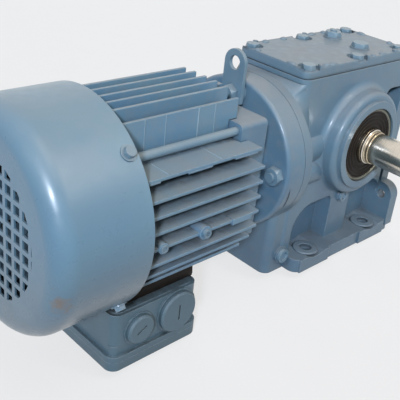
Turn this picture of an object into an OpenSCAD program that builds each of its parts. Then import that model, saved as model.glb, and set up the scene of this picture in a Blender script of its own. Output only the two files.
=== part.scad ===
// Foot-mounted helical-worm gear motor.
// The origin is the middle of the four foot holes, on the plane the feet stand on.
// The motor's axis runs along X with the fan at -X, the output shaft points to -Y, Z is up.

/* [Output shaft] */
// Height of the output shaft's axis above the foot plane
shaft_h = 140; // [136:1:150]
// Diameter of the output shaft's free end
out_d = 35; // [28:0.5:38]
// Length of the free end beyond its shoulder
out_len = 66; // [60:1:90]
// Diameter of the shaft in its bearings and seal
seat_d = 40; // [39:0.5:41]
// Diameter of the shaft under the worm wheel
wheel_seat_d = 45; // [44:0.5:48]
// Width of the output keyway
key_w = 10; // [8:1:12]
// Length of the output keyway
key_len = 50; // [40:1:56]
// Distance from the mid plane to the face of the output boss
boss_reach = 72; // [71:1:76]
// Outer diameter of the output boss
boss_d = 120; // [112:1:128]

/* [Gearing] */
// Module of the worm and its wheel
worm_mod = 2.5; // [2.4:0.05:2.5]
// Teeth of the worm wheel
wheel_teeth = 40; // [38:1:40]
// Starts of the worm thread
worm_starts = 2; // [1:1:2]
// Centre distance of the worm and its wheel
worm_a = 63; // [62.5:0.5:64]
// Length of the worm thread
worm_len = 52; // [44:1:60]
// Width of the worm wheel's rim
rim_w = 20; // [16:1:22]
// Normal module of the helical pair
helical_mod = 2; // [1.9:0.05:2]
// Helix angle of the helical pair
helix = 14; // [10:1:16]
// Teeth of the pinion on the motor shaft
pinion_teeth = 23; // [22:1:24]
// Teeth of the gear on the worm shaft
gear_teeth = 37; // [36:1:38]
// Width of the helical pair
gear_w = 17; // [14:1:17]

/* [Gear case] */
// Distance from the output axis to the motor joint
joint_reach = 123; // [122:1:130]
// Half width of the case's side walls
wall_y = 48; // [47:0.5:50]
// Thickness of the case's walls
case_wall = 8; // [7:0.5:8]
// Height of the case's top face above the output axis
top_rise = 82.6; // [80:0.2:90]
// Length of the top cover
cover_plate_l = 188; // [180:1:190]
// Thickness of the top cover
cover_plate_t = 10; // [8:0.5:14]
// Distance from the output axis to the end face of the case
end_reach = 100; // [98:1:106]
// Diameter of the round flange that takes the motor
flange_d = 158.6; // [156:0.2:162]
// Thickness of the feet
foot_t = 16; // [12:0.5:18]
// Overall width across the feet
foot_w = 134; // [130:1:140]
// Distance between the foot holes along the motor axis
foot_dx = 112; // [106:1:116]
// Distance between the foot holes across the motor axis
foot_dy = 102; // [100:1:106]
// Diameter of the foot holes
foot_hole_d = 13.5; // [11:0.5:14]

/* [Motor] */
// Length of the finned stator housing
frame_len = 136; // [130:1:150]
// Outer diameter of the housing's barrel under the fins
barrel_d = 136; // [134:1:140]
// Diameter across the fin tips
fin_d = 184; // [178:1:186]
// Distance between neighbouring top fins
top_pitch = 14.5; // [13:0.5:14.5]
// Distance between neighbouring side fins
side_pitch = 15; // [14:0.5:15]
// Thickness of a fin at its root
fin_root = 5; // [4:0.5:6]
// Thickness of a fin at its tip
fin_tip = 2.8; // [2:0.2:4]
// Length of the front end shield's neck
neck_len = 46; // [44:1:52]
// Width across the flats of its square block
neck_w = 124; // [120:1:126]
// Thickness of the motor's round flange
flange_t = 25; // [22:0.5:28]
// Diameter of the bolt circle of the motor flange
flange_pcd = 130; // [126:1:134]
// Radius on which the tie rods lie
rod_r = 77; // [76:0.5:79]
// Diameter of a tie rod
rod_d = 8; // [6:0.5:9]

/* [Fan cover] */
// Outer diameter of the fan cover
hood_d = 197; // [194:1:204]
// Length of the fan cover
hood_len = 85.3; // [80:0.1:95]
// Sheet thickness of the fan cover
hood_wall = 1.8; // [1.2:0.1:2.5]
// Radius of the fan cover's shoulder
hood_round = 18; // [12:1:22]
// Diameter of the mesh in the fan cover
mesh_d = 126; // [110:1:130]
// Distance between neighbouring mesh bars
mesh_pitch = 12; // [10:0.5:14]
// Width of a mesh bar
mesh_bar = 3.8; // [3:0.2:5]

/* [Terminal box] */
// Length of the terminal box along the motor
box_l = 104; // [98:1:108]
// Width of the terminal box across the motor
box_w = 126; // [118:1:130]
// Drop from the motor axis to the top of the terminal box
box_drop = 91; // [90:0.5:94]
// Height of the terminal box without its lid
box_h = 50; // [46:1:58]
// Height of the lid
lid_h = 13; // [10:0.5:16]
// Diameter of the large blanking plug's head
plug_big = 42; // [36:1:44]
// Diameter of the small blanking plug's head
plug_small = 29; // [26:1:34]

/* [Lifting eye] */
// Width of the lifting eye
eye_w = 27; // [25:1:30]
// Diameter of the hole in the lifting eye
eye_hole = 14; // [12:0.5:16]
// Height of the round foot that the lifting eye stands on
eye_t = 9; // [8:0.5:11]
// Height of the eye's hole above the motor axis
eye_rise = 96; // [93:0.5:104]

/* [Fits] */
// Radial running clearance of seals and shafts that turn
run_gap = 0.05; // [0.03:0.01:0.08]
// Clearance of bolts in their holes
bolt_gap = 0.5; // [0.3:0.1:0.7]
// Backlash taken off each worm thread
worm_lash = 0.7; // [0.6:0.05:0.9]
// Backlash taken off each helical tooth
helical_lash = 0.3; // [0.25:0.05:0.4]
// Thickness of a flat gasket
gasket_t = 0.8; // [0.5:0.1:1.2]

/* [Hidden] */
$fn = 64;
eps = 0.01;

// Colours of the finishes
paint = "#7497ad";
paint_dark = "#5b7280";
steel = "#b9b4ab";
zinc = "#a9adb0";
iron = "#6f7376";
bronze = "#b08d4a";
rubber = "#2e2622";
copper = "#a8623a";
plastic = "#33373a";

// Gear sizes
pressure = 20;
wheel_r = worm_mod * wheel_teeth / 2;
worm_r = worm_a - wheel_r;
worm_pitch = PI * worm_mod;
worm_lead = worm_pitch * worm_starts;
lead_angle = atan(worm_lead / (2 * PI * worm_r));
worm_tip_r = worm_r + worm_mod;
worm_root_r = worm_r - 1.2 * worm_mod;
wheel_throat_r = worm_root_r + 0.2 * worm_mod;
wheel_rim_r = wheel_r + 1.7 * worm_mod;
trans_mod = helical_mod / cos(helix);
trans_pressure = atan(tan(pressure) / cos(helix));
helical_a = trans_mod * (pinion_teeth + gear_teeth) / 2;
gear_r = trans_mod * gear_teeth / 2;
pinion_r = trans_mod * pinion_teeth / 2;

// Heights of the three axes
worm_z = shaft_h - worm_a;
motor_z = worm_z + helical_a;
case_top = shaft_h + top_rise;

// Stations along X
joint_x = -joint_reach;
flange_x = joint_x - gasket_t - flange_t;
neck_x = flange_x - neck_len;
frame_x = neck_x - frame_len;
hood_lap = 2.2;
rim_x = frame_x + hood_lap;
hood_x = rim_x - hood_len;

// Bearings as bore, outside diameter, width and number of balls
out_brg = [seat_d, 80, 18, 9];
worm_brg = [25, 52, 15, 8];
front_brg = [30, 62, 16, 8];
rear_brg = [25, 52, 15, 8];

// Stations along the output shaft, measured from the mid plane
hub_half = 20;
brg_y = 40;
clip_w = 2;
seal_y = brg_y + out_brg[2] + clip_w;
seal_w = 9;
seal_d = 86;
shoulder_d = 50;
collar_len = 4;

// Stations along the worm shaft
gear_x = joint_x + 10;
left_brg_x = gear_x + gear_w + 3;
left_wall_end = left_brg_x + worm_brg[2] + 2;
right_brg_x = end_reach - 30;
right_wall_x = right_brg_x - 3;

// Case plan
box_x0 = -103;
plate_t = 14;
plate_x = end_reach - plate_t;
cover_x0 = box_x0;
cover_half = wall_y - 0.4;
bolt_seat = cover_plate_t - 2.6;
m8 = 4;
m10 = 5;

// Rest a local +Z axis along +X, from station x
module along_x(x, y = 0, z = 0) {
    translate([x, y, z]) rotate([0, 90, 0]) children();
}

// Rest a local +Z axis along -Y, from station y
module along_y(y, x = 0, z = 0) {
    translate([x, y, z]) rotate([90, 0, 0]) children();
}

// Four copies round the motor axis, the first at angle start from +Y
module around_motor(start) {
    for (a = [0 : 90 : 270])
        translate([0, 0, motor_z]) rotate([start + a, 0, 0]) children();
}

// Both sides of the mid plane
module both_sides() {
    children();
    mirror([0, 1, 0]) children();
}

module tube(r_out, r_in, h) {
    difference() {
        cylinder(r = r_out, h = h);
        translate([0, 0, -1]) cylinder(r = r_in, h = h + 2);
    }
}

// Rectangle with rounded corners, centred
module rounded_rect(l, w, r) {
    square([l - 2 * r, w], center = true);
    square([l, w - 2 * r], center = true);
    for (x = [-1, 1], y = [-1, 1])
        translate([x * (l / 2 - r), y * (w / 2 - r)]) circle(r);
}

module rounded_plate(l, w, h, r) {
    linear_extrude(height = h) rounded_rect(l, w, r);
}

// Hexagon bolt: head above z = 0, shank below, with a dished end on the head
module hex_bolt(d, af, head_h, shank) {
    intersection() {
        cylinder(r = af / sqrt(3), h = head_h, $fn = 6);
        cylinder(r1 = af * 0.62, r2 = af * 0.5, h = head_h);
    }
    translate([0, 0, -shank]) cylinder(r = d / 2, h = shank + eps);
}

// Cap screw with a hexagon socket, head above z = 0
module socket_screw(d, head_d, head_h, shank) {
    difference() {
        cylinder(r = head_d / 2, h = head_h);
        translate([0, 0, head_h * 0.45]) cylinder(r = d * 0.46, h = head_h, $fn = 6);
    }
    translate([0, 0, -shank]) cylinder(r = d / 2, h = shank + eps);
}

// Key with round ends, length along X, bottom on z = 0
module round_key(l, w, h) {
    translate([-(l - w) / 2, -w / 2, 0]) cube([l - w, w, h]);
    for (s = [-1, 1]) translate([s * (l - w) / 2, 0, 0]) cylinder(r = w / 2, h = h);
}

// Ball bearing sizes worked out from its bore and outside diameter
function brg_mid(b) = (b[0] + b[1]) / 4;
function brg_ball(b) = (b[1] - b[0]) * 0.15;

module bearing_outer(b) {
    mid = brg_mid(b);
    ball = brg_ball(b);
    difference() {
        tube(b[1] / 2, mid + ball * 0.5, b[2]);
        rotate_extrude() translate([mid, b[2] / 2]) circle(ball + run_gap);
    }
    for (i = [0 : b[3] - 1])
        rotate([0, 0, i * 360 / b[3]]) translate([mid, 0, b[2] / 2]) sphere(ball);
}

module bearing_inner(b) {
    mid = brg_mid(b);
    ball = brg_ball(b);
    difference() {
        tube(mid - ball * 0.5, b[0] / 2, b[2]);
        rotate_extrude() translate([mid, b[2] / 2]) circle(ball + 4 * run_gap);
    }
}

// Involute helpers: angles in degrees
function inv(a) = (tan(a) - a * PI / 180) * 180 / PI;
function flank_angle(r, pitch_r, pa) = inv(acos(min(1, pitch_r * cos(pa) / r))) - inv(pa);
function polar(r, a) = [r * cos(a), r * sin(a)];

// Outline of a gear in its transverse plane, from root to tip and back for each tooth
function gear_outline(teeth, m, pa, lash) =
    let (
        pr = m * teeth / 2,
        tip = pr + 0.95 * helical_mod,
        root = pr - 1.25 * helical_mod,
        base = pr * cos(pa),
        low = max(root + 0.3, base + 0.02),
        half = 90 / teeth - lash / pr * 90 / PI,
        radii = [low, (low + pr) / 2, pr, (pr + tip) / 2, tip]
    )
    [for (i = [0 : teeth - 1])
        let (c = i * 360 / teeth)
        each concat(
            [polar(root, c - 180 / teeth * 0.86)],
            [for (r = radii) polar(r, c - half + flank_angle(r, pr, pa))],
            [for (k = [len(radii) - 1 : -1 : 0])
                polar(radii[k], c + half - flank_angle(radii[k], pr, pa))],
            [polar(root, c + 180 / teeth * 0.86)]
        )];

// Helical teeth: positive hand is a right-hand helix
module helical_teeth(teeth, hand, turn, slices) {
    pr = trans_mod * teeth / 2;
    sweep = gear_w * tan(helix) / pr * 180 / PI;
    rotate([0, 0, turn])
        linear_extrude(height = gear_w, twist = -hand * sweep, slices = slices)
            polygon(gear_outline(teeth, trans_mod, trans_pressure, helical_lash));
}

// Outline across the worm, crest of the first start at angle 0
function thread_angle(r) =
    (worm_pitch / 4 - worm_lash / 4 - (r - worm_r) * tan(pressure)) / worm_lead * 360;
function worm_outline() =
    let (radii = [worm_root_r, (worm_root_r + worm_r) / 2, worm_r, worm_tip_r])
    [for (s = [0 : worm_starts - 1])
        let (c = s * 360 / worm_starts, gap = 180 / worm_starts - thread_angle(worm_root_r))
        each concat(
            [for (r = radii) polar(r, c - thread_angle(r))],
            [polar(worm_tip_r, c)],
            [for (k = [len(radii) - 1 : -1 : 0]) polar(radii[k], c + thread_angle(radii[k]))],
            [for (k = [1 : 1 : 2 / worm_starts])
                polar(worm_root_r, c + thread_angle(worm_root_r) + gap * k)]
        )];

module worm_thread() {
    turns = worm_len / worm_lead;
    rotate([0, 0, 180 - 180 * turns])
        linear_extrude(height = worm_len, twist = -360 * turns, slices = round(turns * 17))
            polygon(worm_outline());
}

// Gap between two teeth of the wheel in its mid plane, radial direction along +X
function wheel_gap_half(r) =
    r * sin(180 / wheel_teeth
        - (90 / wheel_teeth - worm_lash / 4 / wheel_r * 180 / PI
           - flank_angle(r, wheel_r, pressure)));
function wheel_gap() =
    let (
        root = wheel_r - 1.2 * worm_mod,
        radii = [root, (root + wheel_r) / 2, wheel_r, wheel_r + worm_mod, wheel_rim_r + 4]
    )
    concat(
        [for (r = radii) [r, -wheel_gap_half(r) * cos(lead_angle)]],
        [for (k = [len(radii) - 1 : -1 : 0])
            [radii[k], wheel_gap_half(radii[k]) * cos(lead_angle)]]
    );

// Outer and inner radius of the wheel's bronze rim
rim_seat_r = 38;

module gear_case() {
    color(paint) difference() {
        union() {
            difference() {
                union() {
                    case_body();
                    case_end_plate();
                }
                both_sides() end_recess();
                flange_hollow();
            }
            case_neck();
            case_feet();
            both_sides() output_boss();
            both_sides() side_bulges();
            plug_bosses();
        }
        case_cavity();
        case_bores();
        both_sides() foot_pockets();
        case_holes();
    }
}

// Upright box of the case and its lower front block
module case_body() {
    box_l1 = plate_x - box_x0 + 2;
    translate([box_x0 + box_l1 / 2, 0, foot_t - 2])
        rounded_plate(box_l1, 2 * wall_y, case_top - foot_t + 2, 11);
    low_l = 60;
    translate([joint_x + 5 + low_l / 2, 0, 0]) rounded_plate(low_l, 2 * wall_y - 3, worm_z + 22, 10);
}

// Round flange for the motor, drawn in to the box by a hollow curve
module case_neck() {
    neck_r = flange_d / 2;
    band = 10;
    sweep_r = 27;
    along_x(joint_x, 0, motor_z) rotate_extrude() difference() {
        union() {
            square([neck_r, band]);
            square([neck_r - 1.5, band + 1.5]);
            translate([neck_r - 1.5, band]) circle(1.5);
            square([neck_r - 2, band + sweep_r]);
        }
        translate([neck_r - 2, band + sweep_r + 0.5]) circle(sweep_r - 1);
    }
}

// Hollow cut into the upper corners of the box, behind the round flange
module flange_hollow() {
    rim_h = 5;
    intersection() {
        along_x(joint_x, 0, motor_z) rotate_extrude()
            polygon([[49, 9], [49, 37], [60, 36], [96, 19], [96, 9]]);
        translate([joint_x, -wall_y - 20, motor_z + 10])
            cube([60, 2 * wall_y + 40, case_top - rim_h - motor_z - 10]);
    }
}

foot_lead = 32;

module case_feet() {
    pad_r = 13;
    l = end_reach + foot_dx / 2 + foot_lead;
    translate([end_reach - l / 2, 0, 0]) rounded_plate(l, foot_w - 4, foot_t, 10);
    for (x = [-1, 1], y = [-1, 1]) translate([x * foot_dx / 2, y * foot_dy / 2, 0]) {
        cylinder(r = pad_r + 1, h = foot_t + 1.5);
        translate([-2 * pad_r, y > 0 ? 0 : -(foot_w - foot_dy) / 2, 0])
            cube([4 * pad_r, (foot_w - foot_dy) / 2, foot_t]);
    }
}

// Machined plate at the end of the case, with a lug at each lower corner
module case_end_plate() {
    lug_z = 46.8;
    lug_r = 16;
    plate_h = case_top - foot_t;
    translate([plate_x, -wall_y, 2]) cube([plate_t, 2 * wall_y, case_top - 2]);
    along_x(plate_x) linear_extrude(height = plate_t) {
        translate([-lug_z, -foot_w / 2 + lug_r]) circle(lug_r);
        translate([-lug_z, foot_w / 2 - lug_r]) circle(lug_r);
        translate([-lug_z - lug_r, -foot_w / 2 + lug_r]) square([2 * lug_r, foot_w - 2 * lug_r]);
        translate([-lug_z, -foot_w / 2]) square([lug_z - 8, foot_w]);
    }
    both_sides() translate([plate_x + eps, -foot_w / 2 + 5, foot_t - 1]) rotate([90, 0, 180])
        linear_extrude(height = 9) polygon([[0, 0], [26, 0], [0, 26]]);
}

// Turned boss round the output shaft: rounded outer ring and a proud inner rim
module output_boss() {
    r = boss_d / 2;
    rim_r = seal_d / 2 + 8;
    edge = 6;
    along_y(-24, 0, shaft_h) cylinder(r = r - 1, h = 30);
    along_y(-wall_y + 6, 0, shaft_h) rotate_extrude() difference() {
        reach = boss_reach - wall_y + 6;
        union() {
            square([r - edge, reach - 4]);
            square([r, reach - 4 - edge]);
            translate([r - edge, reach - 4 - edge]) circle(edge);
            square([rim_r, reach]);
            square([r + 8, 12]);
        }
        translate([r + 8, 14]) circle(8);
    }
}

// Swellings of the side wall between the motor flange and the output boss
module side_bulges() {
    along_x(joint_x + 6, -wall_y + 17, motor_z + 3.5) cylinder(r = 22.6, h = joint_reach - 56);
    along_x(joint_x + 6, -wall_y + 16, motor_z - 25.5) cylinder(r = 21, h = joint_reach - 58);
}

// The drain plug's head stays 1 mm clear of the foot beside it
drain_head = 16;
drain_at = [-(foot_dx / 2 + foot_lead) - drain_head / 2 - 1, -wall_y, 20.5];
level_at = [0, -wall_y, motor_z - 71];

module plug_bosses() {
    along_y(drain_at[1] + 8, drain_at[0], drain_at[2]) cylinder(r = 9.5, h = 10);
    along_y(level_at[1] + 8, level_at[0], level_at[2]) cylinder(r = 8, h = 10);
}

// Hollow inside of the case: gear chamber, wheel room and worm trough
module case_cavity() {
    room_x0 = left_wall_end;
    room_l = right_wall_x - room_x0;
    inner_y = wall_y - case_wall;
    trough_y = 22;
    difference() {
        union() {
            translate([room_x0, -inner_y, worm_z + 4]) cube([44 - room_x0, 2 * inner_y, case_top]);
            translate([room_x0, -trough_y, worm_z - 45]) cube([room_l, 2 * trough_y, case_top]);
        }
        for (p = cover_bolt_xy) translate([p[0], p[1], case_top - 24]) cylinder(r = 8, h = 60);
    }
    along_x(gear_x - 1, 0, worm_z) cylinder(r = gear_r + helical_mod + 2.4, h = gear_w + 3);
    along_x(joint_x - 1, 0, motor_z) cylinder(r = flange_pcd / 2 - 8, h = 9);
    along_x(joint_x - 1, 0, motor_z) cylinder(r = 44, h = gear_x + gear_w + 3 - joint_x);
    translate([gear_x + gear_w, -trough_y, motor_z - 15])
        cube([room_x0 - gear_x - gear_w + 1, 2 * trough_y, 45]);
}

module case_bores() {
    worm_bore = worm_brg[1] / 2;
    along_x(gear_x + gear_w, 0, worm_z) cylinder(r = worm_bore, h = 3 + worm_brg[2]);
    along_x(gear_x + gear_w, 0, worm_z) cylinder(r = worm_bore - 4, h = 40);
    along_x(right_wall_x - 1, 0, worm_z) cylinder(r = worm_bore - 4, h = 20);
    along_x(right_brg_x, 0, worm_z) cylinder(r = worm_bore, h = end_reach);
    both_sides() {
        along_y(-brg_y, 0, shaft_h) cylinder(r = out_brg[1] / 2, h = 60);
        along_y(-seal_y + clip_w, 0, shaft_h) cylinder(r = out_brg[1] / 2 + 2, h = clip_w);
        along_y(-seal_y, 0, shaft_h) cylinder(r = seal_d / 2, h = 60);
    }
}

// Arched pockets over the foot holes, which let the foot bolts be reached
module foot_pockets() {
    depth = 20;
    top_z = motor_z - 66;
    half = foot_dx / 2 - 21;
    arch = 30;
    for (s = [-1, 1]) {
        x_mid = s * foot_dx / 2;
        x_in = 18;
        x_out = s > 0 ? plate_x : foot_dx / 2 + 28;
        along_y(-wall_y + depth, 0, 0) linear_extrude(height = depth + 60) difference() {
            union() {
                translate([s > 0 ? x_in : -x_out, foot_t]) square([x_out - x_in, top_z - foot_t - arch]);
                translate([s > 0 ? x_in : -x_out + arch, foot_t])
                    square([x_out - x_in - arch, top_z - foot_t - 8]);
                translate([s * (x_out - arch), top_z - arch]) circle(arch);
                translate([s > 0 ? x_in + 8 : -x_out + arch, top_z - arch])
                    square([x_out - x_in - arch - 8, arch]);
                translate([s * (x_in + 8), top_z - 8]) circle(8);
            }
        }
    }
}

// Recess between the output boss and the end plate
module end_recess() {
    depth = 22;
    x0 = 52;
    z0 = shaft_h - 38;
    h = 88;
    l = plate_x - x0;
    r = 10;
    translate([x0 + l / 2, -wall_y + depth, z0 + h / 2]) rotate([90, 0, 0])
        rounded_plate(l, h, 60, r);
    translate([x0 + l / 2, -wall_y + depth, z0 + h / 2]) rotate([90, 0, 0])
        translate([0, -h / 2 + r, 0]) linear_extrude(height = 60) square([l / 2, h - 2 * r]);
}

cover_bolt_xy = [for (i = [0 : 2], s = [-1, 1])
    [cover_x0 + 11.5 + i * (cover_plate_l - 23) / 2, s * (cover_half - 9)]];

module case_holes() {
    for (x = [-1, 1], y = [-1, 1]) translate([x * foot_dx / 2, y * foot_dy / 2, -1])
        cylinder(r = foot_hole_d / 2, h = foot_t + 10);
    for (p = cover_bolt_xy) translate([p[0], p[1], case_top - 12]) cylinder(r = m8 + eps, h = 20);
    around_motor(0) along_x(joint_x - 1, 0, flange_pcd / 2) cylinder(r = m10 + eps, h = 10);
    along_y(drain_at[1] + 6, drain_at[0], drain_at[2]) cylinder(r = 6 + eps, h = 10);
    along_y(level_at[1] + 6, level_at[0], level_at[2]) cylinder(r = 5 + eps, h = 10);
    for (a = [45 : 90 : 315])
        along_x(end_reach - 12, 0, worm_z) rotate([0, 0, a]) translate([cap_pcd / 2, 0, 0])
            cylinder(r = 3 + eps, h = 20);
    both_sides() along_x(plate_x - 1, -foot_w / 2 + 15, 46.8) cylinder(r = 5.5, h = plate_t + 2);
}

module case_cover() {
    z0 = case_top + gasket_t;
    mid_x = cover_x0 + cover_plate_l / 2;
    seat_r = 11.2;
    color(paint) difference() {
        union() {
            translate([mid_x, 0, z0]) rounded_plate(cover_plate_l, 2 * cover_half, cover_plate_t, 9);
            for (x = [22, 105, 158], s = [-1, 1]) translate([cover_x0 + x, s * (cover_half - 3), z0])
                cylinder(r = 3, h = cover_plate_t + 2.5);
            for (p = [[30, 25], [24, -18]]) translate([p[0], p[1], z0])
                cylinder(r = 11, h = cover_plate_t + 1.5);
        }
        for (p = cover_bolt_xy) translate([p[0], p[1], z0 - 1])
            cylinder(r = m8 + bolt_gap, h = cover_plate_t + 5);
        for (p = cover_bolt_xy) translate([p[0], p[1], z0 + bolt_seat]) cylinder(r = seat_r, h = 10);
        for (p = [[30, 25], [24, -18]]) translate([p[0], p[1], z0 - 5])
            cylinder(r = 6 + eps, h = cover_plate_t + 10);
    }
}

module cover_gasket() {
    color(rubber) difference() {
        translate([cover_x0 + cover_plate_l / 2, 0, case_top])
            rounded_plate(cover_plate_l - 1.6, 2 * cover_half - 1.6, gasket_t, 8.2);
        for (p = cover_bolt_xy) translate([p[0], p[1], case_top - 1])
            cylinder(r = m8 + bolt_gap, h = gasket_t + 2);
        translate([(left_wall_end + 44) / 2, 0, case_top - 1])
            rounded_plate(44 - left_wall_end, 56, gasket_t + 2, 6);
    }
}

module cover_bolts() {
    head_z = case_top + gasket_t + bolt_seat;
    color(paint) for (p = cover_bolt_xy) translate([p[0], p[1], head_z])
        hex_bolt(2 * m8, 13, 5.5, head_z - case_top + 10);
}

module breather_plug() {
    color(paint) translate([30, 25, case_top + gasket_t + cover_plate_t + 1.5]) {
        hex_bolt(12, 17, 6, cover_plate_t + 1);
        translate([0, 0, 6 - eps]) cylinder(r = 4, h = 2);
    }
}

module filler_plug() {
    color(paint) translate([24, -18, case_top + gasket_t + cover_plate_t + 1.5])
        hex_bolt(12, 17, 5, cover_plate_t + 1);
}

module level_plug() {
    color(paint) along_y(level_at[1] - 2, level_at[0], level_at[2]) socket_screw(10, 13, 3, 7);
}

module drain_plug() {
    color(paint) along_y(drain_at[1] - 2, drain_at[0], drain_at[2]) socket_screw(12, drain_head, 3.5, 7);
}

cap_pcd = 66;

module worm_end_cap() {
    spigot = end_reach - right_brg_x - worm_brg[2];
    color(paint) along_x(end_reach, 0, worm_z) difference() {
        union() {
            cylinder(r = cap_pcd / 2 + 7, h = 7);
            cylinder(r = 22, h = 9);
            translate([0, 0, -spigot]) tube(worm_brg[1] / 2 - 0.02, worm_brg[1] / 2 - 4, spigot + 1);
        }
        for (a = [45 : 90 : 315]) rotate([0, 0, a]) translate([cap_pcd / 2, 0, -1])
            cylinder(r = 3 + bolt_gap, h = 12);
    }
}

module end_cap_screws() {
    color(zinc) for (a = [45 : 90 : 315])
        along_x(end_reach + 7, 0, worm_z) rotate([0, 0, a]) translate([cap_pcd / 2, 0, 0])
            hex_bolt(6, 10, 4, 17);
}

module flange_gasket() {
    color(rubber) difference() {
        along_x(joint_x - gasket_t, 0, motor_z) tube(flange_d / 2 - 1.2, flange_pcd / 2 - 7.5, gasket_t);
        around_motor(0) along_x(joint_x - 2, 0, flange_pcd / 2) cylinder(r = m10 + bolt_gap, h = 5);
    }
}

module output_shaft() {
    y_end = boss_reach + collar_len + out_len;
    color(steel) difference() {
        along_y(0, 0, shaft_h) {
            translate([0, 0, -(seal_y - 1)]) cylinder(r = seat_d / 2, h = seal_y - hub_half);
            translate([0, 0, -hub_half]) cylinder(r = wheel_seat_d / 2, h = 2 * hub_half);
            translate([0, 0, hub_half]) cylinder(r = shoulder_d / 2, h = brg_y - hub_half);
            translate([0, 0, brg_y]) cylinder(r = seat_d / 2, h = boss_reach + collar_len - 1 - brg_y);
            translate([0, 0, boss_reach + collar_len - 1])
                cylinder(r1 = seat_d / 2, r2 = seat_d / 2 - 1, h = 1);
            translate([0, 0, brg_y]) cylinder(r = out_d / 2, h = y_end - brg_y - 1.5);
            translate([0, 0, y_end - 1.5]) cylinder(r1 = out_d / 2, r2 = out_d / 2 - 1.5, h = 1.5);
        }
        out_keyway();
        translate([0, 0, shaft_h + wheel_seat_d / 2 - 5]) rotate([0, 0, 90]) round_key(34, 14, 20);
        along_y(-y_end + 24, 0, shaft_h) cylinder(r = 5.1, h = 30);
    }
}

out_key_y = -(boss_reach + collar_len + 8 + key_len / 2);

// Keyway for the key of whatever is fitted on the shaft
module out_keyway() {
    turn = -22.5;
    translate([0, out_key_y, shaft_h]) rotate([0, turn, 0]) translate([0, 0, 5 - out_d / 2])
        rotate([180, 0, 90]) round_key(key_len, key_w, 20);
}

module wheel_key() {
    color(steel) translate([0, 0, shaft_h + wheel_seat_d / 2 - 5]) rotate([0, 0, 90])
        round_key(34 - 0.04, 14 - 0.04, 8.6);
}

module worm_wheel_rim() {
    color(bronze) translate([0, 0, shaft_h]) difference() {
        along_y(rim_w / 2) rotate_extrude($fn = 96) difference() {
            translate([rim_seat_r, 0]) square([wheel_rim_r - rim_seat_r, rim_w]);
            translate([worm_a, rim_w / 2]) circle(wheel_throat_r);
        }
        for (i = [0 : wheel_teeth - 1]) rotate([0, 90 + i * 360 / wheel_teeth, 0])
            rotate([-lead_angle, 0, 0]) translate([0, rim_w, 0]) rotate([90, 0, 0])
                linear_extrude(height = 2 * rim_w) polygon(wheel_gap());
    }
}

// Cast hub with a web, pressed into the rim
module wheel_hub() {
    web = 10;
    color(iron) difference() {
        along_y(0, 0, shaft_h) {
            translate([0, 0, -rim_w / 2]) tube(rim_seat_r, rim_seat_r - 5, rim_w);
            translate([0, 0, -web / 2]) cylinder(r = rim_seat_r - 4, h = web);
            translate([0, 0, -hub_half]) cylinder(r = wheel_seat_d / 2 + 6, h = 2 * hub_half);
        }
        along_y(hub_half + 1, 0, shaft_h) cylinder(r = wheel_seat_d / 2, h = 2 * hub_half + 2);
        translate([-7, -hub_half - 1, shaft_h]) cube([14, 2 * hub_half + 2, wheel_seat_d / 2 + 3.8]);
    }
}

module shaft_sleeve() {
    color(steel) along_y(brg_y, 0, shaft_h) tube(shoulder_d / 2, seat_d / 2, brg_y - hub_half);
}

module output_bearing_inners() {
    color(steel) both_sides() along_y(-brg_y, 0, shaft_h) bearing_inner(out_brg);
}

module output_bearing_outers() {
    color(steel) both_sides() along_y(-brg_y, 0, shaft_h) bearing_outer(out_brg);
}

module retaining_rings() {
    color(zinc) both_sides() along_y(-seal_y + clip_w, 0, shaft_h) difference() {
        tube(out_brg[1] / 2 + 1.9, out_brg[1] / 2 - 4, clip_w);
        translate([-5, 0, -1]) cube([10, 60, clip_w + 2]);
    }
}

module oil_seal_case() {
    color(zinc) along_y(-seal_y, 0, shaft_h) {
        tube(seal_d / 2, seal_d / 2 - 4, seal_w);
        tube(seal_d / 2 - 3, seal_d / 2 - 9, 2);
    }
}

module oil_seal_lip() {
    r = seal_d / 2 - 4;
    lip_r = seat_d / 2 + run_gap;
    color(rubber) along_y(-seal_y - 2, 0, shaft_h) rotate_extrude() difference() {
        translate([lip_r, 0]) square([r - lip_r, seal_w - 3]);
        for (k = [0 : 2]) translate([lip_r + 5 + k * 4.2, seal_w - 3]) circle(0.9);
        translate([lip_r + 0.5, -1]) square([4, 3]);
    }
}

module bore_cap() {
    color(paint_dark) along_y(seal_y + seal_w, 0, shaft_h) {
        tube(seal_d / 2, seal_d / 2 - 3, seal_w);
        cylinder(r = seal_d / 2 - 2, h = 3);
    }
}

module worm_shaft() {
    seat = worm_brg[0] / 2;
    worm_x = -worm_len / 2;
    right_end = right_brg_x + worm_brg[2] + 9;
    color(steel) difference() {
        union() {
            along_x(worm_x, 0, worm_z) worm_thread();
            along_x(gear_x, 0, worm_z) cylinder(r = 11, h = gear_w + 2);
            along_x(gear_x + gear_w + 1, 0, worm_z)
                cylinder(r = seat, h = left_brg_x + worm_brg[2] - gear_x - gear_w - 1);
            along_x(left_brg_x + worm_brg[2], 0, worm_z) cylinder(r = seat + 2.5, h = 8);
            along_x(left_brg_x, 0, worm_z) cylinder(r = worm_root_r - 1, h = right_brg_x - left_brg_x);
            along_x(right_brg_x - 8, 0, worm_z) cylinder(r = seat + 2.5, h = 8);
            along_x(right_brg_x - 1, 0, worm_z) cylinder(r = seat, h = worm_brg[2] + 1);
            along_x(right_brg_x, 0, worm_z) cylinder(r = seat - 1, h = right_end - right_brg_x);
        }
        translate([gear_x + gear_w / 2, 0, worm_z + 11 - 3.5]) round_key(gear_w - 3, 6, 10);
    }
}

module worm_locknut() {
    color(zinc) along_x(right_brg_x + worm_brg[2], 0, worm_z) difference() {
        tube(18, worm_brg[0] / 2 - 1, 7);
        for (a = [0 : 90 : 270]) rotate([0, 0, a]) translate([16, -2.5, -1]) cube([5, 5, 9]);
    }
}

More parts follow.
